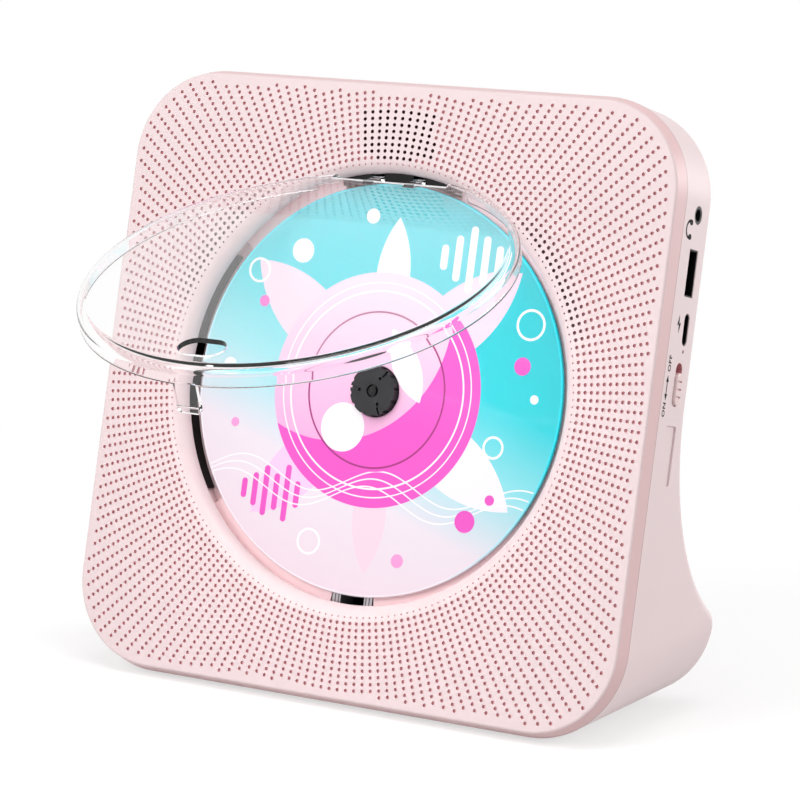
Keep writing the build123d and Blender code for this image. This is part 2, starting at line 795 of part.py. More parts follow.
# ================================================================ speakers
speaker_flange_back = -face_thickness - 2.0
basket_end = speaker_flange_back - 5.0
basket_wall = 1.2
magnet_radius = speaker_radius - 8.0
magnet_depth = 6.0
coil_well_radius = 3.6
coil_well_depth = 2.2
cone_front = speaker_flange_back + 1.0
cone_back = basket_end + 2.6
cone_radius = speaker_radius - 3.2
cone_neck_radius = coil_well_radius + 0.6
cone_wall = 0.6
coil_radius = 3.2
coil_length = 2.4
for side, hand in ((-1, "left"), (1, "right")):
    speaker_middle = (side * speaker_u, speaker_v)
    with BuildPart() as speaker:
        with BuildSketch(on_panel(-face_thickness - seat_gap)):
            with Locations(speaker_middle):
                Circle(speaker_radius)
        extrude(amount=speaker_flange_back + face_thickness + seat_gap)
        with BuildSketch(on_panel(speaker_flange_back)):
            with Locations(speaker_middle):
                Circle(speaker_radius - basket_wall)
        with BuildSketch(on_panel(basket_end)):
            with Locations(speaker_middle):
                Circle(magnet_radius)
        loft()
        with BuildSketch(on_panel(-face_thickness)):
            with Locations(speaker_middle):
                Circle(speaker_radius - 2 * basket_wall)
        extrude(amount=speaker_flange_back + face_thickness, mode=Mode.SUBTRACT)
        with BuildSketch(on_panel(speaker_flange_back + seat_gap)):
            with Locations(speaker_middle):
                Circle(speaker_radius - 2 * basket_wall)
        with BuildSketch(on_panel(basket_end + cone_wall)):
            with Locations(speaker_middle):
                Circle(magnet_radius - basket_wall)
        loft(mode=Mode.SUBTRACT)
        with BuildSketch(on_panel(basket_end)):
            with Locations(speaker_middle):
                Circle(magnet_radius)
        extrude(amount=-magnet_depth)
        with BuildSketch(on_panel(basket_end + cone_wall)):
            with Locations(speaker_middle):
                Circle(coil_well_radius)
        extrude(amount=-coil_well_depth, mode=Mode.SUBTRACT)
    save(speaker, "speaker_" + hand)

    with BuildPart() as cone:
        with BuildSketch(on_panel(cone_front)):
            with Locations(speaker_middle):
                Circle(cone_radius)
        with BuildSketch(on_panel(cone_back)):
            with Locations(speaker_middle):
                Circle(cone_neck_radius)
        loft()
        with BuildSketch(on_panel(cone_front + seat_gap)):
            with Locations(speaker_middle):
                Circle(cone_radius - cone_wall)
        with BuildSketch(on_panel(cone_back + cone_wall)):
            with Locations(speaker_middle):
                Circle(cone_neck_radius - cone_wall)
        loft(mode=Mode.SUBTRACT)
        with BuildSketch(on_panel(cone_back)):
            with Locations(speaker_middle):
                Circle(coil_radius)
        extrude(amount=-coil_length)
    save(cone, "cone_" + hand)

# ================================================================ electronics
display_front = -face_thickness - seat_gap
display_depth = 3.4
display_ear = 3.0
with BuildPart() as display_module:
    with BuildSketch(on_panel(display_front)):
        with Locations((0, display_v)):
            RectangleRounded(display_length, display_height, 0.8)
    extrude(amount=-display_depth)
    with BuildSketch(on_panel(display_front - display_depth)):
        with Locations((0, display_v)):
            Rectangle(display_length + 2 * display_ear, display_height + 2 * display_rim)
    extrude(amount=-board_thickness)
save(display_module, "display_module")

processor_size = 12.0
amplifier_length = 8.0
amplifier_height = 6.0
decoder_length = 6.0
decoder_height = 9.0
chip_thickness = 1.6
capacitor_radius = 2.6
connector_length = 5.0
connector_height = 14.0
tall_thickness = 5.0
processor_place = (-6.0, 2.0)          # each from the middle of the board
amplifier_place = (12.0, 5.0)
decoder_place = (14.0, -9.0)
capacitor_places = [(-22.0, -11.0), (-22.0, -3.0)]
connector_place = (24.0, -1.0)
main_board_middle = Location((0, main_board_v))
with BuildPart() as main_board:
    with BuildSketch(on_panel(board_level)):
        with Locations(main_board_middle):
            RectangleRounded(main_board_length, main_board_height, 2)
        with Locations(*board_post_places):
            Circle(board_shank_radius + slide_gap, mode=Mode.SUBTRACT)
    extrude(amount=-board_thickness)
    # chips, then the two capacitors and the connector
    with BuildSketch(on_panel(board_level)):
        with Locations(main_board_middle):
            with Locations(processor_place):
                Rectangle(processor_size, processor_size)
            with Locations(amplifier_place):
                Rectangle(amplifier_length, amplifier_height)
            with Locations(decoder_place):
                Rectangle(decoder_length, decoder_height)
    extrude(amount=chip_thickness)
    with BuildSketch(on_panel(board_level)):
        with Locations(main_board_middle):
            with Locations(*capacitor_places):
                Circle(capacitor_radius)
            with Locations(connector_place):
                Rectangle(connector_length, connector_height)
    extrude(amount=tall_thickness)
save(main_board, "main_board")

battery_floor_gap = 1.2    # above the floor of the foot
battery_bottom = foot_pad_proud + shell_wall + battery_floor_gap
battery_y = 10.0
battery_length = 66.0
battery_width = 32.0
battery_height = 13.0
battery_corner = 2.0
with BuildPart(Plane.XY.offset(battery_bottom)) as battery_pack:
    with Locations((0, battery_y)):
        Box(
            battery_length,
            battery_width,
            battery_height,
            align=(Align.CENTER, Align.CENTER, Align.MIN),
        )
    fillet(battery_pack.edges().filter_by(Axis.X), battery_corner)
save(battery_pack, "battery_pack")

with BuildPart() as port_board:
    with BuildSketch(on_panel(port_board_level)):
        with Locations((board_edge, port_board_low_v)):
            Rectangle(
                port_board_width,
                aux_v + port_board_over - port_board_low_v,
                align=(Align.MAX, Align.MIN),
            )
    extrude(amount=-board_thickness)
save(port_board, "port_board")

aux_body_length = 11.7
aux_body_width = 6.4
aux_body_outer = wall_inside - 0.3
aux_body_inner = aux_body_outer - aux_body_length
aux_nose_end = wall_outside - 0.1
aux_bore_depth = 12.4
with BuildPart() as aux_jack:
    with BuildSketch(on_side(aux_body_inner)):
        with Locations((aux_v, aux_level)):
            Rectangle(aux_body_width, 2 * (aux_level - port_board_level))
    extrude(amount=aux_body_outer - aux_body_inner)
    with BuildSketch(on_side(aux_body_outer)):
        with Locations((aux_v, aux_level)):
            Circle(aux_nose_radius)
    extrude(amount=aux_nose_end - aux_body_outer)
    with BuildSketch(on_side(aux_nose_end)):
        with Locations((aux_v, aux_level)):
            Circle(aux_bore_radius)
    extrude(amount=-aux_bore_depth, mode=Mode.SUBTRACT)
save(aux_jack, "aux_jack")

socket_mouth = wall_outside - 0.2
usb_a_level = port_board_level + usb_a_height / 2
usb_a_depth = 13.0
usb_a_back = 3.0           # metal behind the hollow
usb_a_tongue = (11.1, 1.8)
usb_a_tongue_offset = 1.0
with BuildPart() as usb_a_socket:
    with BuildSketch(on_side(socket_mouth)):
        with Locations((usb_a_v, usb_a_level)):
            RectangleRounded(usb_a_length, usb_a_height, 0.4)
    extrude(amount=-usb_a_depth - usb_a_back)
    with BuildSketch(on_side(socket_mouth)):
        with Locations((usb_a_v, usb_a_level)):
            RectangleRounded(
                usb_a_length - 2 * socket_wall,
                usb_a_height - 2 * socket_wall,
                0.2,
            )
    extrude(amount=-usb_a_depth, mode=Mode.SUBTRACT)
    with BuildSketch(on_side(socket_mouth - 1.0)):
        with Locations((usb_a_v, usb_a_level + usb_a_tongue_offset)):
            Rectangle(*usb_a_tongue)
    extrude(amount=-usb_a_depth)
save(usb_a_socket, "usb_a_socket")

usb_c_level = port_board_level + usb_c_height / 2
usb_c_depth = 6.5
usb_c_back = 2.0
usb_c_tongue = (6.7, 0.7)
with BuildPart() as usb_c_socket:
    with BuildSketch(on_side(socket_mouth)):
        with Locations((usb_c_v, usb_c_level)):
            SlotOverall(usb_c_length, usb_c_height)
    extrude(amount=-usb_c_depth - usb_c_back)
    with BuildSketch(on_side(socket_mouth)):
        with Locations((usb_c_v, usb_c_level)):
            SlotOverall(usb_c_length - 2 * socket_wall, usb_c_height - 2 * socket_wall)
    extrude(amount=-usb_c_depth, mode=Mode.SUBTRACT)
    with BuildSketch(on_side(socket_mouth - 0.7)):
        with Locations((usb_c_v, usb_c_level)):
            Rectangle(*usb_c_tongue)
    extrude(amount=-usb_c_depth)
save(usb_c_socket, "usb_c_socket")

light_length = 6.2
with BuildPart() as charge_light:
    with BuildSketch(on_side(wall_outside)):
        with Locations((light_v, light_level)):
            Circle(light_radius)
    extrude(amount=-light_length)
save(charge_light, "charge_light")

# ---------------------------------------------------------------- power switch
knob_end_gap = (power_slot_length - power_knob_length - power_travel) / 2
knob_rest_v = power_v - power_slot_length / 2 + knob_end_gap + power_knob_length / 2
knob_flange_top = wall_inside - 0.2
knob_flange = 0.8
knob_proud = 0.7
knob_groove_pitch = 2.2
knob_groove_count = 3
knob_corner = power_slot_corner - slide_gap
switch_face = wall_inside - 1.8
switch_length = 15.0
switch_depth = 5.0
switch_slot_depth = 3.0
stem_width = 1.8
stem_length = 3.0
with BuildPart() as power_switch:
    with BuildSketch(on_side(switch_face)):
        with Locations((power_v, power_level)):
            Rectangle(switch_length, 2 * (power_level - port_board_level))
    extrude(amount=-switch_depth)
    with BuildSketch(on_side(switch_face)):
        with Locations((power_v, power_level)):
            Rectangle(power_travel + stem_width + 1.2, stem_width + 2 * slide_gap)
    extrude(amount=-switch_slot_depth, mode=Mode.SUBTRACT)
save(power_switch, "power_switch")

with BuildPart() as power_knob:
    with BuildSketch(on_side(knob_flange_top)):
        with Locations((knob_rest_v, power_level)):
            RectangleRounded(
                power_knob_length, power_slot_width - 2 * slide_gap, knob_corner
            )
    extrude(amount=wall_outside + knob_proud - knob_flange_top)
    top_face = power_knob.faces().sort_by(Axis.X)[-1]
    fillet(top_face.edges(), 0.4)
    with BuildSketch(on_side(knob_flange_top)):
        with Locations((knob_rest_v, power_level)):
            Rectangle(power_knob_length + 2.4, power_slot_width + 1.4)
    extrude(amount=-knob_flange)
    with BuildSketch(on_side(knob_flange_top - knob_flange)):
        with Locations((knob_rest_v, power_level)):
            Rectangle(stem_width, stem_width)
    extrude(amount=-stem_length)
    # finger grooves across the knob
    with BuildSketch(on_side(wall_outside + knob_proud)):
        with Locations((knob_rest_v, power_level)):
            with GridLocations(knob_groove_pitch, 1, knob_groove_count, 1):
                Rectangle(0.5, power_slot_width - 1.2)
    extrude(amount=-0.45, mode=Mode.SUBTRACT)
save(power_knob, "power_knob")

# ---------------------------------------------------------------- side buttons
button_places = [button_first_v + i * button_pitch for i in range(button_count)]
button_names = [
    "button_volume_down",
    "button_volume_up",
    "button_next",
    "button_back",
    "button_play",
]
button_flange_top = wall_inside - fit_gap
button_flange = 0.8
button_flange_lip = 1.0
plunger_radius = 1.2
key_face = wall_inside - 4.6           # small push switches behind the buttons
plunger_reach = key_face + 0.9
button_board_width = 10.4
button_board_under = 10.0
button_board_over = 8.0
key_size = 6.0
key_depth = 4.0
for button_v, button_name in zip(button_places, button_names):
    with BuildPart() as button:
        with BuildSketch(on_side(-button_flange_top)):
            with Locations((button_v, button_level)):
                Circle(button_radius)
        extrude(amount=button_flange_top - wall_outside - button_proud)
        crown = button.faces().sort_by(Axis.X)[0]
        fillet(crown.edges(), 0.5)
        with BuildSketch(on_side(-button_flange_top)):
            with Locations((button_v, button_level)):
                Circle(button_radius + button_flange_lip)
        extrude(amount=button_flange)
        with BuildSketch(on_side(-button_flange_top)):
            with Locations((button_v, button_level)):
                Circle(plunger_radius)
        extrude(amount=button_flange_top - plunger_reach)
    save(button, button_name)

with BuildPart() as button_board:
    with BuildSketch(on_panel(port_board_level)):
        with Locations((-board_edge, button_places[0] - button_board_under)):
            Rectangle(
                button_board_width,
                button_places[-1] - button_places[0] + button_board_under + button_board_over,
                align=(Align.MIN, Align.MIN),
            )
    extrude(amount=-board_thickness)
    with BuildSketch(on_side(-key_face)):
        for button_v in button_places:
            with Locations((button_v, button_level)):
                Rectangle(key_size, 2 * (button_level - port_board_level))
    extrude(amount=key_depth)
save(button_board, "button_board")

# ================================================================ rear shell
floor_drop = axis_height - foot_pad_proud


def upright(v, w):
    """Panel position as (back, up) from the disc axis point."""
    return (v * tilt_sin - w * tilt_cos, v * tilt_cos + w * tilt_sin)


def shell_block(inset, front_level):
    """Body behind the front piece; inset moves every wall inwards."""
    half = shell_half_width - inset
    top = shell_top - inset
    back = shell_back + inset
    curve = flare_radius + inset
    foot = foot_back - inset
    bottom = -floor_drop + inset
    centre = upright(flare_start, shell_back - flare_radius)
    flare_top = upright(flare_start, back)
    foot_top = (foot, centre[1] - sqrt(curve ** 2 - (foot - centre[0]) ** 2))
    first_turn = degrees(atan2(flare_top[1] - centre[1], flare_top[0] - centre[0])) % 360
    last_turn = degrees(atan2(foot_top[1] - centre[1], foot_top[0] - centre[0])) % 360
    mid_turn = radians((first_turn + last_turn) / 2)
    flare_middle = (centre[0] + curve * cos(mid_turn), centre[1] + curve * sin(mid_turn))
    front_bottom = ((bottom * tilt_sin - front_level) / tilt_cos, bottom)
    with BuildPart() as block:
        with BuildSketch(upright_side.offset(-half)) as outline:
            with BuildLine():
                Polyline(
                    flare_top,
                    upright(top, back),
                    upright(top, front_level),
                    front_bottom,
                    (foot, bottom),
                    foot_top,
                )
                ThreePointArc(flare_top, flare_middle, foot_top)
            make_face()
            shoulder = outline.vertices().sort_by_distance((foot_top[0], foot_top[1], 0))[0]
            fillet(shoulder, foot_shoulder - inset)
        extrude(amount=2 * half)
        # the four long corners that run from front to back
        across = block.edges().filter_by(lambda e: e.length < 2 * half - 1)
        straight = across.filter_by(GeomType.LINE)
        top_corners = straight.filter_by(
            lambda e: abs(side_plane.to_local_coords(e.center()).X - top) < 0.01
        )
        bottom_corners = straight.filter_by(
            lambda e: abs(e.center().Z - axis_point.Z - bottom) < 0.01
        )
        fillet(top_corners + bottom_corners, shell_corner - inset)
        # one smooth loop round the back
        behind = block.edges().filter_by(
            lambda e: max(level_of(e @ 0), level_of(e @ 1)) < front_level - 0.1
        )
        loop = behind.filter_by(lambda e: e.length < 2 * half - 1)
        fillet(loop, back_edge - inset)
    return block


outer_block = shell_block(0, -bevel_depth - seat_gap)
inner_block = shell_block(shell_wall, -bevel_depth + 1)
under = Plane.XY.offset(foot_pad_proud)
cover_thickness = 1.15
cover_corner = 5.0
ledge_x = 8.0              # ledge that the base cover rests on, ends and sides
ledge_y = 7.5
case_column_radius = 4.2
case_head_room = 2.6
board_post_radius = 2.6
board_post_end = shell_back_inside - 0.65
board_hole_depth = 4.4
base_post_radius = 3.4
base_post_height = 8.0
base_hole_depth = 7.0
cut_through = 5.0          # reach of a cut that goes out of a wall

with BuildPart() as shell_columns:
    with BuildSketch(on_panel(case_boss_end - seat_gap)):
        with Locations(*case_screw_places):
            Circle(case_column_radius)
    extrude(amount=2 * shell_back)
    with BuildSketch(on_panel(board_post_end)):
        with Locations(*board_post_places):
            Circle(board_post_radius)
    extrude(amount=board_level - board_thickness - seat_gap - board_post_end)
    with BuildSketch(under):
        with Locations(*base_screw_places):
            Circle(base_post_radius)
    extrude(amount=base_post_height)
    add(outer_block.part, mode=Mode.INTERSECT)

with BuildPart() as rear_shell:
    add(outer_block.part)
    add(inner_block.part, mode=Mode.SUBTRACT)
    add(shell_columns.part)
    with BuildSketch(on_panel(case_boss_end)):
        with Locations(*case_screw_places):
            Circle(case_shank_radius + fit_gap)
    extrude(amount=2 * case_head_level, mode=Mode.SUBTRACT)
    with BuildSketch(on_panel(case_head_level)):
        with Locations(*case_screw_places):
            Circle(case_head_room)
    extrude(amount=2 * shell_back, mode=Mode.SUBTRACT)
    with BuildSketch(on_panel(board_level - board_thickness)):
        with Locations(*board_post_places):
            Circle(board_shank_radius)
    extrude(amount=-board_hole_depth, mode=Mode.SUBTRACT)
    # sockets, light, switch slot and shallow panel on the right side
    with BuildSketch(on_side(wall_inside - 0.5)):
        with Locations((aux_v, aux_level)):
            Circle(aux_nose_radius + fit_gap)
        with Locations((usb_a_v, usb_a_level)):
            Rectangle(usb_a_length + 2 * fit_gap, usb_a_height + 2 * fit_gap)
        with Locations((usb_c_v, usb_c_level)):
            SlotOverall(usb_c_length + 2 * fit_gap, usb_c_height + 2 * fit_gap)
        with Locations((light_v, light_level)):
            Circle(light_radius + seat_gap)
        with Locations((power_v, power_level)):
            RectangleRounded(power_slot_length, power_slot_width, power_slot_corner)
    extrude(amount=cut_through, mode=Mode.SUBTRACT)
    with BuildSketch(on_side(wall_outside - recess_depth)):
        with Locations((recess_v, recess_level)):
            RectangleRounded(recess_length, recess_width, 0.8)
    extrude(amount=cut_through, mode=Mode.SUBTRACT)
    with BuildSketch(on_side(-wall_inside + 0.5)):
        for button_v in button_places:
            with Locations((button_v, button_level)):
                Circle(button_radius + slide_gap)
    extrude(amount=-cut_through, mode=Mode.SUBTRACT)
    # underside: recess and opening of the base cover
    with BuildSketch(under):
        RectangleRounded(cover_length, cover_depth, cover_corner)
    extrude(amount=cover_thickness + seat_gap, mode=Mode.SUBTRACT)
    with BuildSketch(under):
        RectangleRounded(cover_length - 2 * ledge_x, cover_depth - 2 * ledge_y, cover_corner)
    extrude(amount=cut_through, mode=Mode.SUBTRACT)
    with BuildSketch(under):
        with Locations(*base_screw_places):
            Circle(base_shank_radius)
    extrude(amount=base_hole_depth, mode=Mode.SUBTRACT)
save(rear_shell, "rear_shell")

with BuildPart() as base_cover:
    with BuildSketch(under):
        RectangleRounded(
            cover_length - 2 * fit_gap,
            cover_depth - 2 * fit_gap,
            cover_corner - fit_gap,
        )
        with Locations(*base_screw_places):
            Circle(base_shank_radius + fit_gap, mode=Mode.SUBTRACT)
    extrude(amount=cover_thickness)
    with BuildSketch(under):
        with Locations(*foot_places):
            Circle(foot_radius + seat_gap)
    extrude(amount=foot_sunk, mode=Mode.SUBTRACT)
save(base_cover, "base_cover")

with BuildPart() as rubber_feet:
    with BuildSketch(Plane.XY):
        with Locations(*foot_places):
            Circle(foot_radius)
    extrude(amount=foot_pad_proud + foot_sunk)
    fillet(rubber_feet.edges().group_by(Axis.Z)[0], 0.4)
save(rubber_feet, "rubber_feet")

# ================================================================ screws
# hidden_front looks into the case: the board screws go in from the front
hidden_front = Plane(
    origin=on_panel(board_level + seat_gap).origin,
    x_dir=(1, 0, 0),
    z_dir=(0, tilt_cos, -tilt_sin),
)
mirrored_posts = [(u, -v) for u, v in board_post_places]
behind_well = on_panel(floor_back - seat_gap)
behind_posts = on_panel(floor_back - damper_post_length - seat_gap)
behind_columns = on_panel(case_head_level - seat_gap)
drive_shank = (drive_shank_radius, 3.2)
well_shank = (well_shank_radius, 6.0)
hinge_shank = (hinge_shank_radius, 5.0)
case_shank = (case_shank_radius, 16.5)
board_shank = (board_shank_radius, 5.4)
base_shank = (base_shank_radius, 6.5)
pan_screws(behind_posts, damper_places, (2.6, 1.2), drive_shank, "drive_screws")
pan_screws(behind_well, well_screw_places, (1.8, 1.1), well_shank, "well_screws")
pan_screws(behind_well, hinge_screw_places, (1.4, 0.9), hinge_shank, "hinge_screws")
pan_screws(behind_columns, case_screw_places, (2.4, 2.0), case_shank, "case_screws")
pan_screws(hidden_front, mirrored_posts, (2.2, 1.2), board_shank, "board_screws")
pan_screws(under, base_screw_places, (2.1, 0.75), base_shank, "base_screws")
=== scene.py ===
"""Desktop CD player: perforated front, clear lid, printed disc, ports and finishes.

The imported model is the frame, in metres. What lies on the leaning front is worked
out in millimetres as (u, v, w): across, up the front, and out of it.
"""
import bmesh
import bpy
import json
from math import atan2, cos, degrees, pi, radians, sin, sqrt, tan
from mathutils import Matrix, Vector


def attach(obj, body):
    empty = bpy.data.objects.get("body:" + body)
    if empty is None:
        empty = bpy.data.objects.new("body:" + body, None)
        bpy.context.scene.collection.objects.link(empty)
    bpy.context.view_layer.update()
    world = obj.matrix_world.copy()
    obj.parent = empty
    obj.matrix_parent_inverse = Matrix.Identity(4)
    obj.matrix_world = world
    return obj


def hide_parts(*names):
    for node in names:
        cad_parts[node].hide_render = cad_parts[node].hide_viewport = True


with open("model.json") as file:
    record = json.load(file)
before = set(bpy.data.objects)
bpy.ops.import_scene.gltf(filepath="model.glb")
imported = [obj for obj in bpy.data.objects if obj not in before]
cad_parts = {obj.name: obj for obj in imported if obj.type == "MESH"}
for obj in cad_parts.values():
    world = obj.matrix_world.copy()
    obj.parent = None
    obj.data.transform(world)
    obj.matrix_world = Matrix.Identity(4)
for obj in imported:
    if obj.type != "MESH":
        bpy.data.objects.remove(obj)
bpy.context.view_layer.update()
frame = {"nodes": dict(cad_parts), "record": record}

# ---------------------------------------------------------------- placing
MM = 0.001
TILT = radians(10.8)
AXIS_POINT = Vector((0.0, -0.022, 0.0916))
PANEL = Matrix(
    (
        (MM, 0.0, 0.0, AXIS_POINT.x),
        (0.0, MM * sin(TILT), -MM * cos(TILT), AXIS_POINT.y),
        (0.0, MM * cos(TILT), MM * sin(TILT), AXIS_POINT.z),
        (0.0, 0.0, 0.0, 1.0),
    )
)
# marks on the right wall: x runs up the front's slope, y towards the front
SIDE = PANEL @ Matrix(((0, 0, 1, 0), (1, 0, 0, 0), (0, 1, 0, 0), (0, 0, 0, 1)))

# ---------------------------------------------------------------- front, mm
FACE_WIDTH = 178.0
FACE_HEIGHT = 178.6
FACE_DROP = 0.4
FACE_CORNER = 25.8
FACE_THICKNESS = 2.0
FRONT_WALL = 1.8
BEVEL_SIDE = 1.4
BEVEL_DEPTH = 4.8
EDGE_RADIUS = 0.8
LIP_EDGE = 67.2
LIP_WALL = 62.4
HINGE_LIP_WALL = 63.6
HINGE_LIP_TURN = 25.0
HINGE_LIP_BLEND = 20.0
EDGE_BAND_RADIUS = 80.0
COLLAR_OUTSIDE = 65.8
COLLAR_LEVEL = -5.0
HOLE_RADIUS = 0.56
HOLE_DEPTH = 0.9
HOLE_SPOKES = 201
HOLE_RINGS = 31
FIRST_RING = 67.7
RING_PITCH = 1.925
LIP_HOLE_RING = 65.95
LIP_HOLE_RADIUS = 0.27
HOLE_FIELD_WIDTH = 174.2
HOLE_FIELD_HEIGHT = 173.9
HOLE_FIELD_CORNER = 22.5
DISPLAY_V = 74.6
DISPLAY_WINDOW = (24.6, 14.4)
SHADE_HEADING = 34.0
SHADE_RADIUS = 70.0

# step round the floor of the bay, just under the disc: runs of first turn, last turn
# and outer radius, which stop at the hinge cover, the left trim and the latch
STEP_INSIDE = 57.5
STEP_OUTSIDE = 63.99
STEP_OUTSIDE_AT_TRIM = 63.0
STEP_BOTTOM = -10.85
STEP_TOP = -8.3
STEP_RUNS = (
    (-83.4, -37.5, STEP_OUTSIDE),
    (-37.5, 37.5, STEP_OUTSIDE_AT_TRIM),
    (37.5, 71.5, STEP_OUTSIDE),
    (108.5, 142.5, STEP_OUTSIDE),
    (217.5, 263.4, STEP_OUTSIDE),
)

# ---------------------------------------------------------------- disc, mm
DISC_RADIUS = 60.0
DISC_HOLE = 7.5
DISC_SEAT = -7.5
DISC_THICKNESS = 1.2
DISC_EDGE = 0.25
STACKING_RING = 22.4

# ---------------------------------------------------------------- lid, mm
LID_SWING = radians(58.0)
HINGE_V = 61.4
HINGE_W = -5.0
LID_RADIUS = 61.9
LID_SKIRT = 1.3
LID_CORNER = 3.0
LID_TOP = -1.9
LID_UNDER = -3.4
LID_RIM = -8.0
LID_EASE = 0.3
NOTCH_HALF_WIDTH = 18.79
NOTCH_EDGE = 54.5
RELIEF_TURN = 24.0
RELIEF_LEVEL = -6.2
FINGER_HOLE = (14.0, 9.0)
FINGER_HOLE_V = -51.0
LUG_MIDDLE = 6.75
LUG_WIDTH = 3.5
TAB_WIDTH = 7.0
TAB_END = -16.3
TAB_THICKNESS = 1.3
TAB_CORNER = 1.2
PIN_HOLE_RADIUS = 0.65
CATCH_RADIUS = 0.35
CATCH_RISE = 2.0
SWING = Matrix(
    (
        (1.0, 0.0, 0.0, 0.0),
        (
            0.0,
            cos(LID_SWING),
            sin(LID_SWING),
            HINGE_V - HINGE_V * cos(LID_SWING) - HINGE_W * sin(LID_SWING),
        ),
        (
            0.0,
            -sin(LID_SWING),
            cos(LID_SWING),
            HINGE_W + HINGE_V * sin(LID_SWING) - HINGE_W * cos(LID_SWING),
        ),
        (0.0, 0.0, 0.0, 1.0),
    )
)

# ---------------------------------------------------------------- side marks, mm
WALL_OUTSIDE = 90.2
MARK_PROUD = 0.02
LETTER_HEIGHT = 2.5

# slot of the switch: how far in, up and out its inside reaches
SLOT_U = (80.0, 90.05)
SLOT_V = (3.0, 19.0)
SLOT_W = (-18.0, -12.0)

# ---------------------------------------------------------------- light
SHADOW_SOFTNESS = 0.42
ROOM_LIGHT = 0.38
LIGHTS_AIM = (0.0, -0.02, 0.09)
# name, place and size in metres, power in watts
LIGHTS = (
    ("key_light", (-0.6, -1.3, 0.9), (0.9, 0.9), 11.5),
    ("front_fill", (0.1, -1.6, 0.2), (1.2, 0.6), 4.6),
    ("right_fill", (1.1, 1.15, 0.45), (0.8, 0.6), 14.6),
    ("top_light", (0.2, -0.35, 1.3), (0.8, 0.6), 5.2),
)
FLOOR_SIZE = 6.0
WHITE = (1.0, 1.0, 1.0, 1.0)

BODY_OF = {
    node: body
    for body, nodes in frame["record"]["behaviour"]["bodies"].items()
    for node in nodes
}
SLOT_OF = {entry["node"]: entry["material_slot"] for entry in frame["record"]["subparts"]}


# ================================================================ shader helpers
def srgb(red, green, blue):
    """Colour given on the 0 to 255 scale, as the shaders want it."""
    def linear(value):
        value /= 255.0
        return value / 12.92 if value <= 0.04045 else ((value + 0.055) / 1.055) ** 2.4

    return (linear(red), linear(green), linear(blue), 1.0)


def darkened(colour, share):
    """The colour with its channels times a share."""
    return tuple(channel * share for channel in colour[:3]) + (1.0,)


class Wire:
    """A shader socket that can be used in sums. Each sum adds its Math node."""

    def __init__(self, finish, socket):
        self.finish = finish
        self.socket = socket

    def math(self, operation, *values, clamp=False):
        settings = {"operation": operation, "use_clamp": clamp}
        return self.finish.node("ShaderNodeMath", settings, values)

    def __add__(self, other):
        return self.math("ADD", self, other)

    def __radd__(self, other):
        return self.math("ADD", other, self)

    def __sub__(self, other):
        return self.math("SUBTRACT", self, other)

    def __rsub__(self, other):
        return self.math("SUBTRACT", other, self)

    def __mul__(self, other):
        return self.math("MULTIPLY", self, other)

    def __rmul__(self, other):
        return self.math("MULTIPLY", other, self)

    def __truediv__(self, other):
        return self.math("DIVIDE", self, other)

    def __neg__(self):
        return self.math("MULTIPLY", self, -1.0)

    def __abs__(self):
        return self.math("ABSOLUTE", self)

    def __mod__(self, other):
        return self.math("FLOORED_MODULO", self, other)

    def above(self, level, softness):
        """1 where this is over the level, 0 below, over a soft band."""
        settings = {"interpolation_type": "SMOOTHSTEP"}
        values = {"Value": self, "From Min": level - softness, "From Max": level + softness}
        return self.finish.node("ShaderNodeMapRange", settings, values)

    def below(self, level, softness):
        return 1.0 - self.above(level, softness)


class Finish:
    """A material while it is being put together."""

    def __init__(self, name):
        self.material = bpy.data.materials.new(name)
        self.material.use_nodes = True
        self.tree = self.material.node_tree
        self.tree.nodes.clear()
        self.at = self.node("ShaderNodeTexCoord", output="Object")

    def node(self, kind, settings=None, inputs=(), output=0):
        """Adds a node: its settings first, then the values or wires of its sockets."""
        made = self.tree.nodes.new(kind)
        for name, value in (settings or {}).items():
            if name == "stops":
                while len(made.color_ramp.elements) < len(value):
                    made.color_ramp.elements.new(0.5)
                for element, (position, colour) in zip(made.color_ramp.elements, value):
                    element.position = position
                    element.color = colour
            else:
                setattr(made, name, value)
        pairs = inputs.items() if isinstance(inputs, dict) else enumerate(inputs)
        for key, value in pairs:
            if isinstance(value, Wire):
                self.tree.links.new(value.socket, made.inputs[key])
            else:
                made.inputs[key].default_value = value
        return Wire(self, made.outputs[output]) if made.outputs else None

    def mix(self, factor, first, second):
        """Colour between two colours."""
        sockets = {0: factor, 6: first, 7: second}
        return self.node("ShaderNodeMix", {"data_type": "RGBA"}, sockets, 2)

    def on_panel(self):
        """Position in mm: across the leaning front, up it and out of it."""
        settings = {"operation": "SUBTRACT"}
        offset = self.node("ShaderNodeVectorMath", settings, (self.at, AXIS_POINT))
        across = self.node("ShaderNodeSeparateXYZ", None, (offset,), 0) * (1.0 / MM)
        back = self.node("ShaderNodeSeparateXYZ", None, (offset,), 1) * (1.0 / MM)
        height = self.node("ShaderNodeSeparateXYZ", None, (offset,), 2) * (1.0 / MM)
        up = back * sin(TILT) + height * cos(TILT)
        out = height * sin(TILT) - back * cos(TILT)
        return across, up, out

    def noise(self, scale, detail=2.0, roughness=0.5):
        values = {"Vector": self.at, "Scale": scale, "Detail": detail, "Roughness": roughness}
        return self.node("ShaderNodeTexNoise", None, values)

    def bump(self, height, strength, distance):
        values = {"Height": height, "Strength": strength, "Distance": distance}
        return self.node("ShaderNodeBump", None, values)

    def clouded(self, colour):
        """The colour with slight deeper clouds."""
        return self.mix(self.noise(35.0), darkened(colour, 0.96), colour)

    def principled(self, **values):
        sockets = {name.replace("_", " "): value for name, value in values.items()}
        return self.node("ShaderNodeBsdfPrincipled", None, sockets)

    def done(self, shader):
        self.node("ShaderNodeOutputMaterial", None, {"Surface": shader})
        return self.material


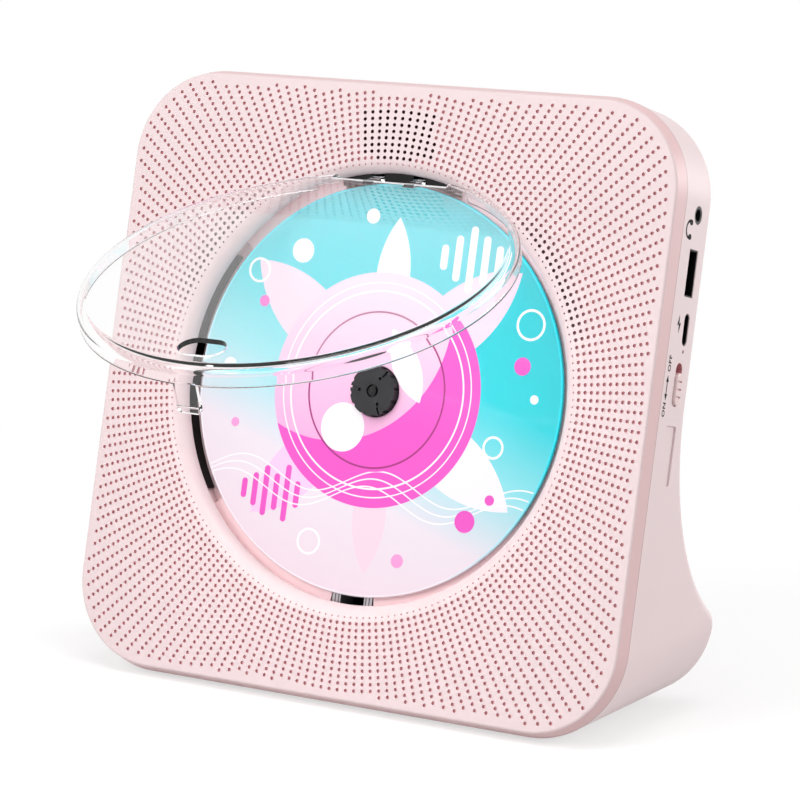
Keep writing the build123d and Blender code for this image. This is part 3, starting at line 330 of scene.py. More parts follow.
# ================================================================ finishes
def moulded_plastic(name, colour, roughness, coat=0.0, shine=0.5):
    """Moulded plastic: a fine grain, slight clouding and uneven gloss."""
    finish = Finish(name)
    shader = finish.principled(
        Base_Color=finish.clouded(colour),
        Roughness=roughness - 0.05 + 0.1 * finish.noise(180.0),
        Normal=finish.bump(finish.noise(2600.0, 1.0), 0.35, 0.00001),
        Coat_Weight=coat,
        Specular_IOR_Level=shine,
    )
    return finish.done(shader)


def satin_shell(finish, colour):
    """Fine-grained satin plastic of the shell and the front, over a worked-out colour."""
    shader = finish.principled(
        Base_Color=colour,
        Roughness=0.37 + 0.1 * finish.noise(180.0),
        Normal=finish.bump(finish.noise(2600.0, 1.0), 0.35, 0.00001),
    )
    return finish.done(shader)


def front_finish(name, colour, slant_shade_colour, seam_colour):
    """Satin front: its slanting edge is painted shade, a deeper pink, and a fine seam ends it."""
    finish = Finish(name)
    u, v, out = finish.on_panel()
    near_edge = u.math("SQRT", u * u + v * v).above(EDGE_BAND_RADIUS, 1.0)
    slant = near_edge * out.below(-0.5, 0.25)
    seam = near_edge * out.below(0.16 - BEVEL_DEPTH, 0.05)
    # painted shade: the slanting edge is mixed to a deeper pink
    tint = finish.mix(slant, finish.clouded(colour), slant_shade_colour)
    return satin_shell(finish, finish.mix(seam, tint, seam_colour))


def shell_finish(name, colour, slot_shade_colour):
    """Satin shell, with painted shade inside the slot of the switch: a deeper pink there."""
    finish = Finish(name)
    u, v, out = finish.on_panel()
    inward = u.above(SLOT_U[0], 0.5) * u.below(SLOT_U[1], 0.04)
    upward = v.above(SLOT_V[0], 0.5) * v.below(SLOT_V[1], 0.5)
    outward_range = out.above(SLOT_W[0], 0.3) * out.below(SLOT_W[1], 0.3)
    in_slot = inward * upward * outward_range
    # painted shade: a deeper pink inside the slot
    return satin_shell(finish, finish.mix(in_slot, finish.clouded(colour), slot_shade_colour))


def hole_finish(name):
    """Painted shade inside the holes: a deeper pink, darkest beside the upper quarters of the bay.
    """
    finish = Finish(name)
    u, v = finish.on_panel()[:2]
    radius = u.math("SQRT", u * u + v * v)
    heading = radians(SHADE_HEADING)
    toward = (abs(u) * cos(heading) + v * sin(heading)) / radius
    # painted shade: darker hole walls beside the upper quarters of the bay
    shade = toward.above(0.962, 0.03) * radius.below(SHADE_RADIUS, 5.0)
    shader = finish.principled(
        Base_Color=finish.mix(shade, srgb(228, 182, 186), srgb(84, 38, 42)),
        Roughness=0.6 + 0.1 * finish.noise(300.0),
    )
    return finish.done(shader)


def worked_metal(name, colour, roughness, scratch=(40.0, 900.0, 900.0)):
    """Rolled or turned metal with fine drawn lines along X."""
    finish = Finish(name)
    stretched = finish.node("ShaderNodeMapping", None, {"Vector": finish.at, "Scale": scratch})
    values = {"Vector": stretched, "Scale": 1.0, "Detail": 3.0}
    lines = finish.node("ShaderNodeTexNoise", None, values)
    shader = finish.principled(
        Base_Color=finish.mix(lines, darkened(colour, 0.8), colour),
        Metallic=1.0,
        Roughness=roughness + 0.12 * lines,
        Normal=finish.bump(lines, 0.15, 0.00001),
    )
    return finish.done(shader)


def rubber(name, colour):
    finish = Finish(name)
    dust = finish.noise(420.0, 3.0)
    dusty = tuple(channel * 1.9 + 0.01 for channel in colour[:3]) + (1.0,)
    shader = finish.principled(
        Base_Color=finish.mix(dust.above(0.55, 0.2), colour, dusty),
        Roughness=0.82,
        Normal=finish.bump(finish.noise(1900.0), 0.5, 0.00003),
    )
    return finish.done(shader)


def circuit_board(name):
    """Green solder mask with paler copper tracks under it and bare pads."""
    finish = Finish(name)
    across = finish.node("ShaderNodeSeparateXYZ", None, (finish.at,), 0)
    up = finish.node("ShaderNodeSeparateXYZ", None, (finish.at,), 2)
    column = abs((across * 1000.0) % 2.4 - 1.2).below(0.22, 0.05)
    row = abs((up * 1000.0) % 3.1 - 1.55).below(0.2, 0.05)
    broken = finish.noise(160.0).above(0.52, 0.02)
    track = column.math("MAXIMUM", column * broken, row * (1.0 - broken))
    pad = (column * row).above(0.5, 0.1)
    mask = finish.mix(track, srgb(22, 84, 56), srgb(38, 112, 74))
    shader = finish.principled(
        Base_Color=finish.mix(pad, mask, srgb(205, 196, 170)),
        Roughness=0.34 - 0.08 * track,
        Metallic=pad,
        Normal=finish.bump(track, 0.3, 0.00003),
    )
    return finish.done(shader)


def latch_finish(name):
    """Black window between bright upright ends, with painted reflection bands on the ends."""
    finish = Finish(name)
    across = abs(finish.node("ShaderNodeSeparateXYZ", None, (finish.at,), 0)) * 1000.0
    bright = across.above(3.9, 0.1)
    # painted reflection: grey bands across the bright ends
    reflection_stripe = abs((across - 4.0) % 1.1 - 0.55).below(0.2, 0.08)
    grey = finish.mix(reflection_stripe, srgb(196, 190, 194), srgb(96, 92, 98))
    shader = finish.principled(
        Base_Color=finish.mix(bright, srgb(14, 14, 16), grey),
        Roughness=0.16 + 0.04 * reflection_stripe,
        Metallic=0.5 * bright,
    )
    return finish.done(shader)


def hub_finish(name):
    """Grey-black satin with a glossy black pin in the middle: the near black there is painted
    shade of the centre dimple.
    """
    finish = Finish(name)
    u, v = finish.on_panel()[:2]
    # painted shade: near black over the centre dimple
    pin = (u * u + v * v).below(2.9, 0.5)
    shader = finish.principled(
        Base_Color=finish.mix(pin, srgb(33, 33, 35), srgb(6, 6, 7)),
        Roughness=0.46 - 0.22 * pin,
        Normal=finish.bump(finish.noise(2400.0, 1.0), 0.3, 0.00001),
        Specular_IOR_Level=0.25,
    )
    return finish.done(shader)


def battery_wrap(name):
    """Shrink film over two round cells."""
    finish = Finish(name)
    folds = finish.noise(90.0, 3.0)
    shader = finish.principled(
        Base_Color=finish.mix(folds, srgb(34, 74, 150), srgb(48, 96, 178)),
        Roughness=0.3,
        Normal=finish.bump(folds, 0.4, 0.0002),
    )
    return finish.done(shader)


def clear_acrylic(name):
    """Polished clear plastic that lets light through to what it covers."""
    finish = Finish(name)
    wipe = finish.noise(60.0)
    glass = finish.principled(
        Base_Color=(0.99, 0.985, 0.988, 1.0),
        Roughness=0.008 * wipe,
        IOR=1.49,
        Transmission_Weight=1.0,
    )
    through = finish.node("ShaderNodeBsdfTransparent", None, {"Color": (0.97, 0.96, 0.965, 1.0)})
    shadow_ray = finish.node("ShaderNodeLightPath", output="Is Shadow Ray")
    return finish.done(finish.node("ShaderNodeMixShader", None, (shadow_ray, glass, through)))


def printed_disc(name):
    """Cyan to white print with a pink middle, arcs, bars, petals and dots."""
    finish = Finish(name)
    u, v = finish.on_panel()[:2]
    radius = u.math("SQRT", u * u + v * v)
    edge = 0.12

    def distance(centre_u, centre_v):
        """Distance from a point of the print."""
        du = u - centre_u
        dv = v - centre_v
        return u.math("SQRT", du * du + dv * dv)

    def round_patch(centre_u, centre_v, size):
        return distance(centre_u, centre_v).below(size, edge)

    def ring(centre_u, centre_v, size, width):
        return abs(distance(centre_u, centre_v) - size).below(width / 2, edge)

    def petal(centre_u, centre_v, heading, size, spread):
        """Pointed leaf where two large circles cross."""
        off_u = -sin(radians(heading)) * spread
        off_v = cos(radians(heading)) * spread
        one = round_patch(centre_u + off_u, centre_v + off_v, size)
        other = round_patch(centre_u - off_u, centre_v - off_v, size)
        return one * other

    def bar(centre_u, low_v, high_v, width):
        """Upright bar with round ends."""
        above = v.math("MAXIMUM", v - high_v, 0.0)
        below = v.math("MAXIMUM", low_v - v, 0.0)
        beyond = above + below
        du = u - centre_u
        return u.math("SQRT", du * du + beyond * beyond).below(width / 2, edge)

    def wave(level, swing, length, start, width):
        """Thin line that runs across in waves."""
        curve = u.math("SINE", (u + start) * (2.0 * pi / length)) * swing + level
        return abs(v - curve).below(width / 2, edge)

    white = srgb(236, 231, 235)
    pale_pink = srgb(230, 200, 214)
    pink = srgb(228, 148, 202)
    magenta = srgb(222, 78, 184)
    height = (v + 0.35 * u + DISC_RADIUS) / (2 * DISC_RADIUS)
    stops = [
        (0.0, srgb(224, 206, 216)),
        (0.24, srgb(220, 210, 219)),
        (0.44, srgb(132, 208, 216)),
        (0.62, srgb(20, 194, 204)),
        (1.0, srgb(2, 184, 196)),
    ]
    colour = finish.node("ShaderNodeValToRGB", {"stops": stops}, (height,))

    # large pale petals round the middle, then the pink middle in rings
    petals = (
        (24.0, 22.0, 42.0, 38.0, 29.0, pale_pink),
        (-25.0, 19.0, 142.0, 38.0, 29.0, pale_pink),
        (-22.0, -24.0, 47.0, 34.0, 26.0, srgb(244, 190, 222)),
        (27.0, -17.0, 148.0, 36.0, 27.0, srgb(238, 224, 234)),
        (1.0, 33.0, 90.0, 30.0, 24.5, srgb(228, 236, 240)),
        (3.0, -36.0, 92.0, 30.0, 24.5, pale_pink),
    )
    for centre_u, centre_v, heading, size, spread, tint in petals:
        colour = finish.mix(petal(centre_u, centre_v, heading, size, spread), colour, tint)
    fade = (v + 30.0) / 60.0
    fade = fade.math("MAXIMUM", fade.math("MINIMUM", fade, 1.0), 0.0)
    in_middle = radius.below(34.0, edge)
    crescent = in_middle * distance(-16.0, 22.0).above(38.0, edge)
    colour = finish.mix(in_middle, colour, finish.mix(fade, pink, pale_pink))
    colour = finish.mix(crescent, colour, magenta)
    colour = finish.mix(ring(0.0, 0.0, 28.5, 0.5), colour, white)
    colour = finish.mix(ring(0.0, 0.0, 31.0, 0.35), colour, white)
    colour = finish.mix(petal(9.0, 8.0, 120.0, 17.0, 12.6), colour, white)
    colour = finish.mix(round_patch(-9.5, -11.5, 7.2), colour, white)

    # sound bars, upper right and lower left
    right_bars = (5.0, 11.0, 17.0, 12.0, 7.0)
    for place, tall in enumerate(right_bars):
        mask = bar(17.0 + 4.4 * place, 40.0 - tall / 2, 40.0 + tall / 2, 2.3)
        colour = finish.mix(mask, colour, white)
    left_bars = (4.0, 8.0, 13.0, 9.0, 15.0, 6.0)
    for place, tall in enumerate(left_bars):
        mask = bar(-40.0 + 3.6 * place, -33.0 - tall / 2, -33.0 + tall / 2, 1.9)
        colour = finish.mix(mask, colour, magenta)

    # three thin waves across the lower half
    for line in range(3):
        mask = wave(-27.0 - 2.4 * line, 4.0, 46.0, 6.0 + 2.0 * line, 0.4)
        colour = finish.mix(mask * radius.above(23.5, edge), colour, white)

    # dots and small rings
    dots = (
        (-30.0, 38.0, 3.6, white),
        (-41.0, 22.0, 1.7, magenta),
        (46.0, 12.0, 2.6, magenta),
        (51.0, 3.0, 1.3, white),
        (-50.0, 2.0, 2.2, white),
        (34.0, -34.0, 3.2, magenta),
        (41.0, -27.0, 1.5, magenta),
        (14.0, -48.0, 2.0, pink),
        (-8.0, 50.0, 2.2, white),
        (-46.0, -14.0, 1.4, pink),
    )
    for centre_u, centre_v, size, tint in dots:
        colour = finish.mix(round_patch(centre_u, centre_v, size), colour, tint)
    small_rings = ((-44.0, 31.0, 3.4), (47.0, 24.0, 4.2), (40.0, -12.0, 3.0), (-16.0, -46.0, 3.6))
    for centre_u, centre_v, size in small_rings:
        colour = finish.mix(ring(centre_u, centre_v, size, 0.7), colour, white)

    # clear rim with a painted glow in the print's colour, then the stacking ring in painted shade
    glow = finish.mix((v + 0.5 * u).above(-14.0, 34.0), srgb(232, 222, 230), srgb(18, 220, 236))
    colour = finish.mix(radius.above(DISC_RADIUS - 0.7, edge), colour, glow)
    # painted shade: the deep magenta line over the stacking ring stands in for the ring's shadow
    colour = finish.mix(ring(0.0, 0.0, STACKING_RING, 0.55), colour, srgb(150, 40, 110))
    shader = finish.principled(
        Base_Color=colour,
        Roughness=0.22 + 0.05 * finish.noise(300.0),
        Coat_Weight=0.25,
        Coat_Roughness=0.06,
        Specular_IOR_Level=0.3,
        Normal=finish.bump(finish.noise(1500.0), 0.15, 0.000005),
    )
    return finish.done(shader)


def stage_white(name):
    """Floor that reads white to the camera, save for a faint shadow near the object."""
    finish = Finish(name)
    lifted = finish.node("ShaderNodeEmission", None, {"Color": WHITE, "Strength": 1.4})
    bright = finish.node("ShaderNodeEmission", None, {"Color": WHITE, "Strength": 1.0})
    camera_ray = finish.node("ShaderNodeLightPath", output="Is Camera Ray")
    glossy_ray = finish.node("ShaderNodeLightPath", output="Is Glossy Ray")
    clear_ray = finish.node("ShaderNodeLightPath", output="Is Transmission Ray")
    seen = camera_ray.math("MINIMUM", camera_ray + glossy_ray + clear_ray, 1.0)
    tone = finish.mix(seen, (0.64, 0.64, 0.64, 1.0), (0.82, 0.82, 0.82, 1.0))
    matt = finish.node("ShaderNodeBsdfDiffuse", None, {"Color": tone})
    offset = finish.node("ShaderNodeVectorMath", {"operation": "LENGTH"}, (finish.at,), 1)
    far = offset.above(0.34, 0.12)
    shaded = finish.node("ShaderNodeMixShader", None, (seen * SHADOW_SOFTNESS, matt, lifted))
    return finish.done(finish.node("ShaderNodeMixShader", None, (seen * far, shaded, bright)))


shell_pink = srgb(229, 208, 209)
FINISHES = {
    "case_pink": moulded_plastic("case_pink_satin", shell_pink, 0.42),
    "button_pink": moulded_plastic("button_pink_satin", srgb(231, 204, 204), 0.38),
    "lid_clear": clear_acrylic("lid_clear_acrylic"),
    "disc_print": printed_disc("disc_print"),
    "lens_clear": moulded_plastic("lens_bluish", srgb(150, 170, 200), 0.12, coat=1.0),
    "black_plastic": moulded_plastic("black_satin", srgb(24, 24, 26), 0.4, shine=0.3),
    "display_black": moulded_plastic("display_smoke", srgb(16, 16, 20), 0.12, coat=0.8),
    "black_rubber": rubber("black_rubber_matt", srgb(34, 34, 35)),
    "steel": worked_metal("plated_steel", srgb(190, 190, 194), 0.28),
    "plated_steel": worked_metal("nickel_plate", srgb(205, 204, 200), 0.2),
    "board_green": circuit_board("solder_mask_green"),
    "battery_wrap": battery_wrap("battery_film_blue"),
}
# the front's deeper pink slanting edge is painted shade
front_pink = front_finish("front_pink_satin", shell_pink, srgb(226, 190, 191), srgb(176, 138, 140))
# the holes' deeper pink is painted shade
hole_shade_pink = hole_finish("hole_shade_pink")
# dark walls for the through holes over the display: painted shade
hole_dark_shade = moulded_plastic("hole_dark_shade", srgb(120, 66, 70), 0.6)
# painted light: the bay's well and step are a lighter pink than the shell, to brighten the recess
well_pink_painted_light = moulded_plastic("well_pink_painted_light", srgb(253, 222, 225), 0.4)
# the deeper pink inside the switch's slot is painted shade
shell_satin = shell_finish("shell_pink_satin", shell_pink, srgb(206, 132, 138))
gloss_black = moulded_plastic("gloss_black", srgb(6, 6, 8), 0.24, shine=0.08)
mark_ink = moulded_plastic("mark_ink_black", srgb(16, 15, 16), 0.7, shine=0.2)
latch_black = latch_finish("latch_black_and_bright")
hub_black = hub_finish("hub_black")
# painted shade: the sockets' metal is near black for the shade inside their openings
port_painted_shade = worked_metal("port_nickel_painted_shade", srgb(46, 46, 49), 0.34)
light_rose = moulded_plastic("light_rose", srgb(120, 62, 70), 0.2)


# ================================================================ mesh helpers
def piece_from(name, mesh, *materials):
    """Object at the origin that holds the mesh as it stands."""
    piece = bpy.data.objects.new(name, mesh)
    bpy.context.scene.collection.objects.link(piece)
    for material in materials:
        mesh.materials.append(material)
    return piece


def settle(piece):
    """Turns the modifiers' result into the piece's own plain mesh."""
    bpy.context.view_layer.update()
    evaluated = piece.evaluated_get(bpy.context.evaluated_depsgraph_get())
    mesh = bpy.data.meshes.new_from_object(evaluated)
    piece.modifiers.clear()
    piece.data = mesh
    return piece


def smooth(piece, crease):
    """Smooth shading except over edges sharper than the crease, in degrees."""
    piece.data.polygons.foreach_set("use_smooth", [True] * len(piece.data.polygons))
    piece.data.set_sharp_from_angle(angle=radians(crease))
    weighted = piece.modifiers.new("flat_faces_lead", "WEIGHTED_NORMAL")
    weighted.keep_sharp = True
    return settle(piece)


def mount(piece, node):
    """The piece takes the node's place and body."""
    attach(piece, BODY_OF[node])
    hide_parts(node)
    return piece


def shaped_copy(node, material=None, crease=28.0):
    """The node's own shape with its corners joined, so that curves shade smoothly."""
    mesh = frame["nodes"][node].data.copy()
    if "custom_normal" in mesh.attributes:
        mesh.attributes.remove(mesh.attributes["custom_normal"])
    work = bmesh.new()
    work.from_mesh(mesh)
    bmesh.ops.remove_doubles(work, verts=work.verts, dist=0.000002)
    work.to_mesh(mesh)
    work.free()
    mesh.materials.clear()
    piece = piece_from(node + "_finished", mesh, material or FINISHES[SLOT_OF[node]])
    return mount(smooth(piece, crease), node)


def outward(mesh):
    """Turns all faces of a closed mesh outwards."""
    work = bmesh.new()
    work.from_mesh(mesh)
    bmesh.ops.recalc_face_normals(work, faces=work.faces)
    work.to_mesh(mesh)
    work.free()
    return mesh


def loops_mesh(name, loops, capped=False):
    """Skin over a row of loops with equal point counts.

    The last loop joins the first, or each of the two gets a flat cap.
    """
    mesh = bpy.data.meshes.new(name)
    count = len(loops[0])
    points = [point for loop in loops for point in loop]
    faces = []
    rows = range(len(loops) - 1) if capped else range(len(loops))
    for row in rows:
        following = (row + 1) % len(loops)
        for i in range(count):
            j = (i + 1) % count
            faces.append(
                (row * count + i, row * count + j, following * count + j, following * count + i)
            )
    if capped:
        faces.append(tuple(range(count)))
        faces.append(tuple(range(len(points) - count, len(points))))
    mesh.from_pydata(points, [], faces)
    return outward(mesh)


def prism(outline, low, high, along="z"):
    """Closed block: an outline in two axes, drawn out along the third."""
    def place(a, b, level):
        return {"x": (level, a, b), "y": (a, level, b), "z": (a, b, level)}[along]

    loops = [[place(a, b, level) for a, b in outline] for level in (low, high)]
    return loops_mesh("block", loops, True)


def arc(centre_a, centre_b, radius, start, end, steps):
    """Points on an arc, the turns in degrees."""
    turns = [radians(start + (end - start) * step / steps) for step in range(steps + 1)]
    return [(centre_a + radius * cos(turn), centre_b + radius * sin(turn)) for turn in turns]


def combine(piece, operation, mesh):
    """Cuts a block out of the piece, or joins one to it."""
    other = piece_from("cutter", mesh)
    boolean = piece.modifiers.new("combine", "BOOLEAN")
    boolean.solver = "MANIFOLD"
    boolean.operation = operation
    boolean.object = other
    settle(piece)
    bpy.data.objects.remove(other)


# ================================================================ perforated front
def rounded_square(outset, corner_steps=24, side_steps=40):
    """Outline of the face moved outwards by outset, as (u, v) points from +U round."""
    half_u = FACE_WIDTH / 2 + outset
    half_v = FACE_HEIGHT / 2 + outset
    corner = FACE_CORNER + outset
    centres = (
        (half_u - corner, half_v - corner),
        (corner - half_u, half_v - corner),
        (corner - half_u, corner - half_v),
        (half_u - corner, corner - half_v),
    )
    points = []
    for quarter, (centre_u, centre_v) in enumerate(centres):
        for step in range(corner_steps):
            turn = (quarter + step / corner_steps) * pi / 2
            points.append((centre_u + corner * cos(turn), centre_v + corner * sin(turn)))
        turn = (quarter + 1) * pi / 2
        end = (centre_u + corner * cos(turn), centre_v + corner * sin(turn))
        next_u, next_v = centres[(quarter + 1) % 4]
        start = (next_u + corner * cos(turn), next_v + corner * sin(turn))
        for step in range(side_steps):
            share = step / side_steps
            points.append(
                (end[0] + (start[0] - end[0]) * share, end[1] + (start[1] - end[1]) * share)
            )
    return [(u, v - FACE_DROP) for u, v in points]


def hole_tree():
    """Geometry nodes that cut rings of holes, on spokes, out of a plate."""
    tree = bpy.data.node_groups.new("cut_polar_holes", "GeometryNodeTree")
    sizes = (
        ("Spokes", "NodeSocketInt"),
        ("Rings", "NodeSocketInt"),
        ("First Ring", "NodeSocketFloat"),
        ("Ring Pitch", "NodeSocketFloat"),
        ("Hole Radius", "NodeSocketFloat"),
        ("Hole Depth", "NodeSocketFloat"),
        ("Lip Ring", "NodeSocketFloat"),
        ("Lip Hole Radius", "NodeSocketFloat"),
        ("Lip Level", "NodeSocketFloat"),
        ("Field Width", "NodeSocketFloat"),
        ("Field Height", "NodeSocketFloat"),
        ("Field Corner", "NodeSocketFloat"),
        ("Plain Hole", "NodeSocketMaterial"),
        ("Dark Hole", "NodeSocketMaterial"),
    )
    tree.interface.new_socket(name="Plate", in_out="INPUT", socket_type="NodeSocketGeometry")
    for name, kind in sizes:
        tree.interface.new_socket(name=name, in_out="INPUT", socket_type=kind)
    tree.interface.new_socket(name="Plate", in_out="OUTPUT", socket_type="NodeSocketGeometry")
    given = tree.nodes.new("NodeGroupInput").outputs
    result = tree.nodes.new("NodeGroupOutput")

    def node(kind, settings, inputs, output=0):
        made = tree.nodes.new(kind)
        for name, value in settings.items():
            setattr(made, name, value)
        for key, value in inputs.items():
            if isinstance(value, bpy.types.NodeSocket):
                tree.links.new(value, made.inputs[key])
            else:
                made.inputs[key].default_value = value
        return made.outputs[output]

    def maths(operation, *values):
        return node("ShaderNodeMath", {"operation": operation}, dict(enumerate(values)))

    def length(one, other):
        squares = maths("ADD", maths("MULTIPLY", one, one), maths("MULTIPLY", other, other))
        return maths("SQRT", squares)

    index = node("GeometryNodeInputIndex", {}, {})
    ring_number = maths("FLOOR", maths("DIVIDE", index, given["Spokes"]))
    spoke_number = maths("MODULO", index, given["Spokes"])
    ring_radius = maths(
        "ADD", given["First Ring"], maths("MULTIPLY", ring_number, given["Ring Pitch"])
    )

    def polar(radius, spoke, level):
        turn = maths("DIVIDE", maths("MULTIPLY", spoke, 2 * pi), given["Spokes"])
        across = maths("MULTIPLY", radius, maths("COSINE", turn))
        up = maths("MULTIPLY", radius, maths("SINE", turn))
        return node("ShaderNodeCombineXYZ", {}, {0: across, 1: up, 2: level})

    place = node("GeometryNodeInputPosition", {}, {})
    across = node("ShaderNodeSeparateXYZ", {}, {0: place}, 0)
    up = node("ShaderNodeSeparateXYZ", {}, {0: place}, 1)

    def beyond(value, size):
        """How far a coordinate lies past the straight part of the field."""
        straight = maths("SUBTRACT", maths("DIVIDE", size, 2.0), given["Field Corner"])
        return maths("MAXIMUM", maths("SUBTRACT", maths("ABSOLUTE", value), straight), 0.0)

    past_u = beyond(across, given["Field Width"])
    past_v = beyond(maths("ADD", up, FACE_DROP), given["Field Height"])
    reach = length(past_u, past_v)
    outside = maths("GREATER_THAN", reach, given["Field Corner"])

    def within(value, middle, half):
        return maths("LESS_THAN", maths("ABSOLUTE", maths("SUBTRACT", value, middle)), half)

    window_width, window_height = DISPLAY_WINDOW
    in_width = within(across, 0.0, window_width / 2)
    in_height = within(up, DISPLAY_V, window_height / 2)
    over_display = maths("MULTIPLY", in_width, in_height)

    total = maths("MULTIPLY", given["Spokes"], given["Rings"])
    grid = node(
        "GeometryNodePoints",
        {},
        {"Count": total, "Position": polar(ring_radius, spoke_number, 0.0)},
    )
    grid = node(
        "GeometryNodeDeleteGeometry", {"domain": "POINT"}, {"Geometry": grid, "Selection": outside}
    )

    def punches(points, radius, depth, chosen):
        punch = node(
            "GeometryNodeMeshCylinder", {}, {"Vertices": 10, "Radius": radius, "Depth": depth}
        )
        spread = node(
            "GeometryNodeInstanceOnPoints",
            {},
            {"Points": points, "Instance": punch, "Selection": chosen},
        )
        return node("GeometryNodeRealizeInstances", {}, {"Geometry": spread})

    blind = maths("MULTIPLY", given["Hole Depth"], 2.0)
    through = 4.0 * FACE_THICKNESS
    plain = maths("SUBTRACT", 1.0, over_display)
    lip_points = node(
        "GeometryNodePoints",
        {},
        {
            "Count": given["Spokes"],
            "Position": polar(given["Lip Ring"], index, given["Lip Level"]),
        },
    )
    plate = given["Plate"]
    cuts = (
        punches(grid, given["Hole Radius"], blind, plain),
        punches(grid, given["Hole Radius"], through, over_display),
        punches(lip_points, given["Lip Hole Radius"], given["Hole Depth"], True),
    )
    for cut in cuts:
        plate = node(
            "GeometryNodeMeshBoolean",
            {"operation": "DIFFERENCE", "solver": "MANIFOLD"},
            {"Mesh 1": plate, "Mesh 2": cut},
        )

    # walls and floors of the holes, told from the plate by where they lie
    level = node("ShaderNodeSeparateXYZ", {}, {0: place}, 2)
    from_axis = length(across, up)

    def between(value, low, high):
        over = maths("GREATER_THAN", value, low)
        return maths("MULTIPLY", over, maths("LESS_THAN", value, high))

    in_field = maths(
        "MULTIPLY",
        maths("LESS_THAN", reach, maths("ADD", given["Field Corner"], 0.9)),
        maths("GREATER_THAN", from_axis, LIP_EDGE),
    )
    in_hole = maths("MULTIPLY", in_field, between(level, 0.05 - FACE_THICKNESS, -0.05))
    on_lip = between(from_axis, LIP_HOLE_RING - 0.45, LIP_HOLE_RING + 0.45)
    in_lip_hole = maths("MULTIPLY", on_lip, between(level, -1.3, -0.46))
    full_depth = between(level, -FACE_THICKNESS / 2 - 0.06, -FACE_THICKNESS / 2 + 0.06)
    # painted shade: the hole walls take the deeper pink
    paints = (
        (in_hole, given["Plain Hole"]),
        (in_lip_hole, given["Plain Hole"]),
        # painted shade: dark walls in the through holes over the display
        (maths("MULTIPLY", in_hole, full_depth), given["Dark Hole"]),
    )
    for chosen, material in paints:
        plate = node(
            "GeometryNodeSetMaterial",
            {},
            {"Geometry": plate, "Selection": chosen, "Material": material},
        )
    tree.links.new(plate, result.inputs["Plate"])
    return tree


def lip_wall(turn):
    """Radius of the bay's wall below the lip, which is wider beside the hinge."""
    away = abs(degrees(turn) - 90.0)
    away = min(away, 360.0 - away)
    share = min(max((away - HINGE_LIP_TURN) / HINGE_LIP_BLEND, 0.0), 1.0)
    eased = share * share * (3.0 - 2.0 * share)
    return HINGE_LIP_WALL + (LIP_WALL - HINGE_LIP_WALL) * eased


def build_front():
    """Front plate: soft outer edge, rounded lip, collar of the bay, and its holes."""
    slope = atan2(BEVEL_SIDE, BEVEL_DEPTH)
    set_back = EDGE_RADIUS * tan((pi / 2 - slope) / 2)
    rings = []
    edge_steps = 5
    for step in range(edge_steps + 1):
        turn = pi / 2 - (pi / 2 - slope) * step / edge_steps
        outset = EDGE_RADIUS * cos(turn) - set_back
        rings.append((outset, EDGE_RADIUS * sin(turn) - EDGE_RADIUS))
    rings.append((BEVEL_SIDE, -BEVEL_DEPTH))
    rings.append((-FRONT_WALL, -BEVEL_DEPTH))
    rings.append((-FRONT_WALL, -FACE_THICKNESS))
    outline = rounded_square(0.0)
    loops = [[(u, v, level) for u, v in rounded_square(outset)] for outset, level in rings]
    turns = [atan2(v, u) for u, v in outline]
    walls = [lip_wall(turn) for turn in turns]

    def ring(radii, levels):
        loop = []
        for radius, turn, level in zip(radii, turns, levels):
            loop.append((radius * cos(turn), radius * sin(turn), level))
        loops.append(loop)

    count = len(turns)
    ring([COLLAR_OUTSIDE] * count, [-FACE_THICKNESS] * count)
    ring([COLLAR_OUTSIDE] * count, [COLLAR_LEVEL] * count)
    ring(walls, [COLLAR_LEVEL] * count)
    lip_steps = 9
    for step in range(lip_steps + 1):
        along = pi / 2 * step / lip_steps
        ring(
            [LIP_EDGE - (LIP_EDGE - wall) * cos(along) for wall in walls],
            [(LIP_EDGE - wall) * (sin(along) - 1.0) for wall in walls],
        )
    plate = piece_from("perforated_front", loops_mesh("perforated_front", loops), front_pink)
    curve = LIP_EDGE - LIP_WALL
    lip_drop = curve - sqrt(curve**2 - (LIP_EDGE - LIP_HOLE_RING) ** 2)
    tree = hole_tree()
    cutter = plate.modifiers.new("cut_holes", "NODES")
    cutter.node_group = tree
    values = {
        "Spokes": HOLE_SPOKES,
        "Rings": HOLE_RINGS,
        "First Ring": FIRST_RING,
        "Ring Pitch": RING_PITCH,
        "Hole Radius": HOLE_RADIUS,
        "Hole Depth": HOLE_DEPTH,
        "Lip Ring": LIP_HOLE_RING,
        "Lip Hole Radius": LIP_HOLE_RADIUS,
        "Lip Level": -lip_drop,
        "Field Width": HOLE_FIELD_WIDTH,
        "Field Height": HOLE_FIELD_HEIGHT,
        "Field Corner": HOLE_FIELD_CORNER,
        "Plain Hole": hole_shade_pink,
        "Dark Hole": hole_dark_shade,
    }
    for item in tree.interface.items_tree:
        if item.in_out == "INPUT" and item.name in values:
            cutter[item.identifier] = values[item.name]
    settle(plate)
    plate.data.transform(PANEL)
    return mount(smooth(plate, 35.0), "front_grille")


def build_step():
    """Low step round the floor of the bay, in runs between what stands on its wall."""
    for number, (start, end, outside) in enumerate(STEP_RUNS):
        turns = round((end - start) / 2.0)
        outline = arc(0.0, 0.0, outside, start, end, turns)
        outline += arc(0.0, 0.0, STEP_INSIDE, end, start, turns)
        mesh = prism(outline, STEP_BOTTOM, STEP_TOP)
        mesh.transform(PANEL)
        # the step takes the lighter pink: painted light
        step = smooth(piece_from(f"well_step_{number + 1}", mesh, well_pink_painted_light), 35.0)
        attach(step, BODY_OF["disc_well"])


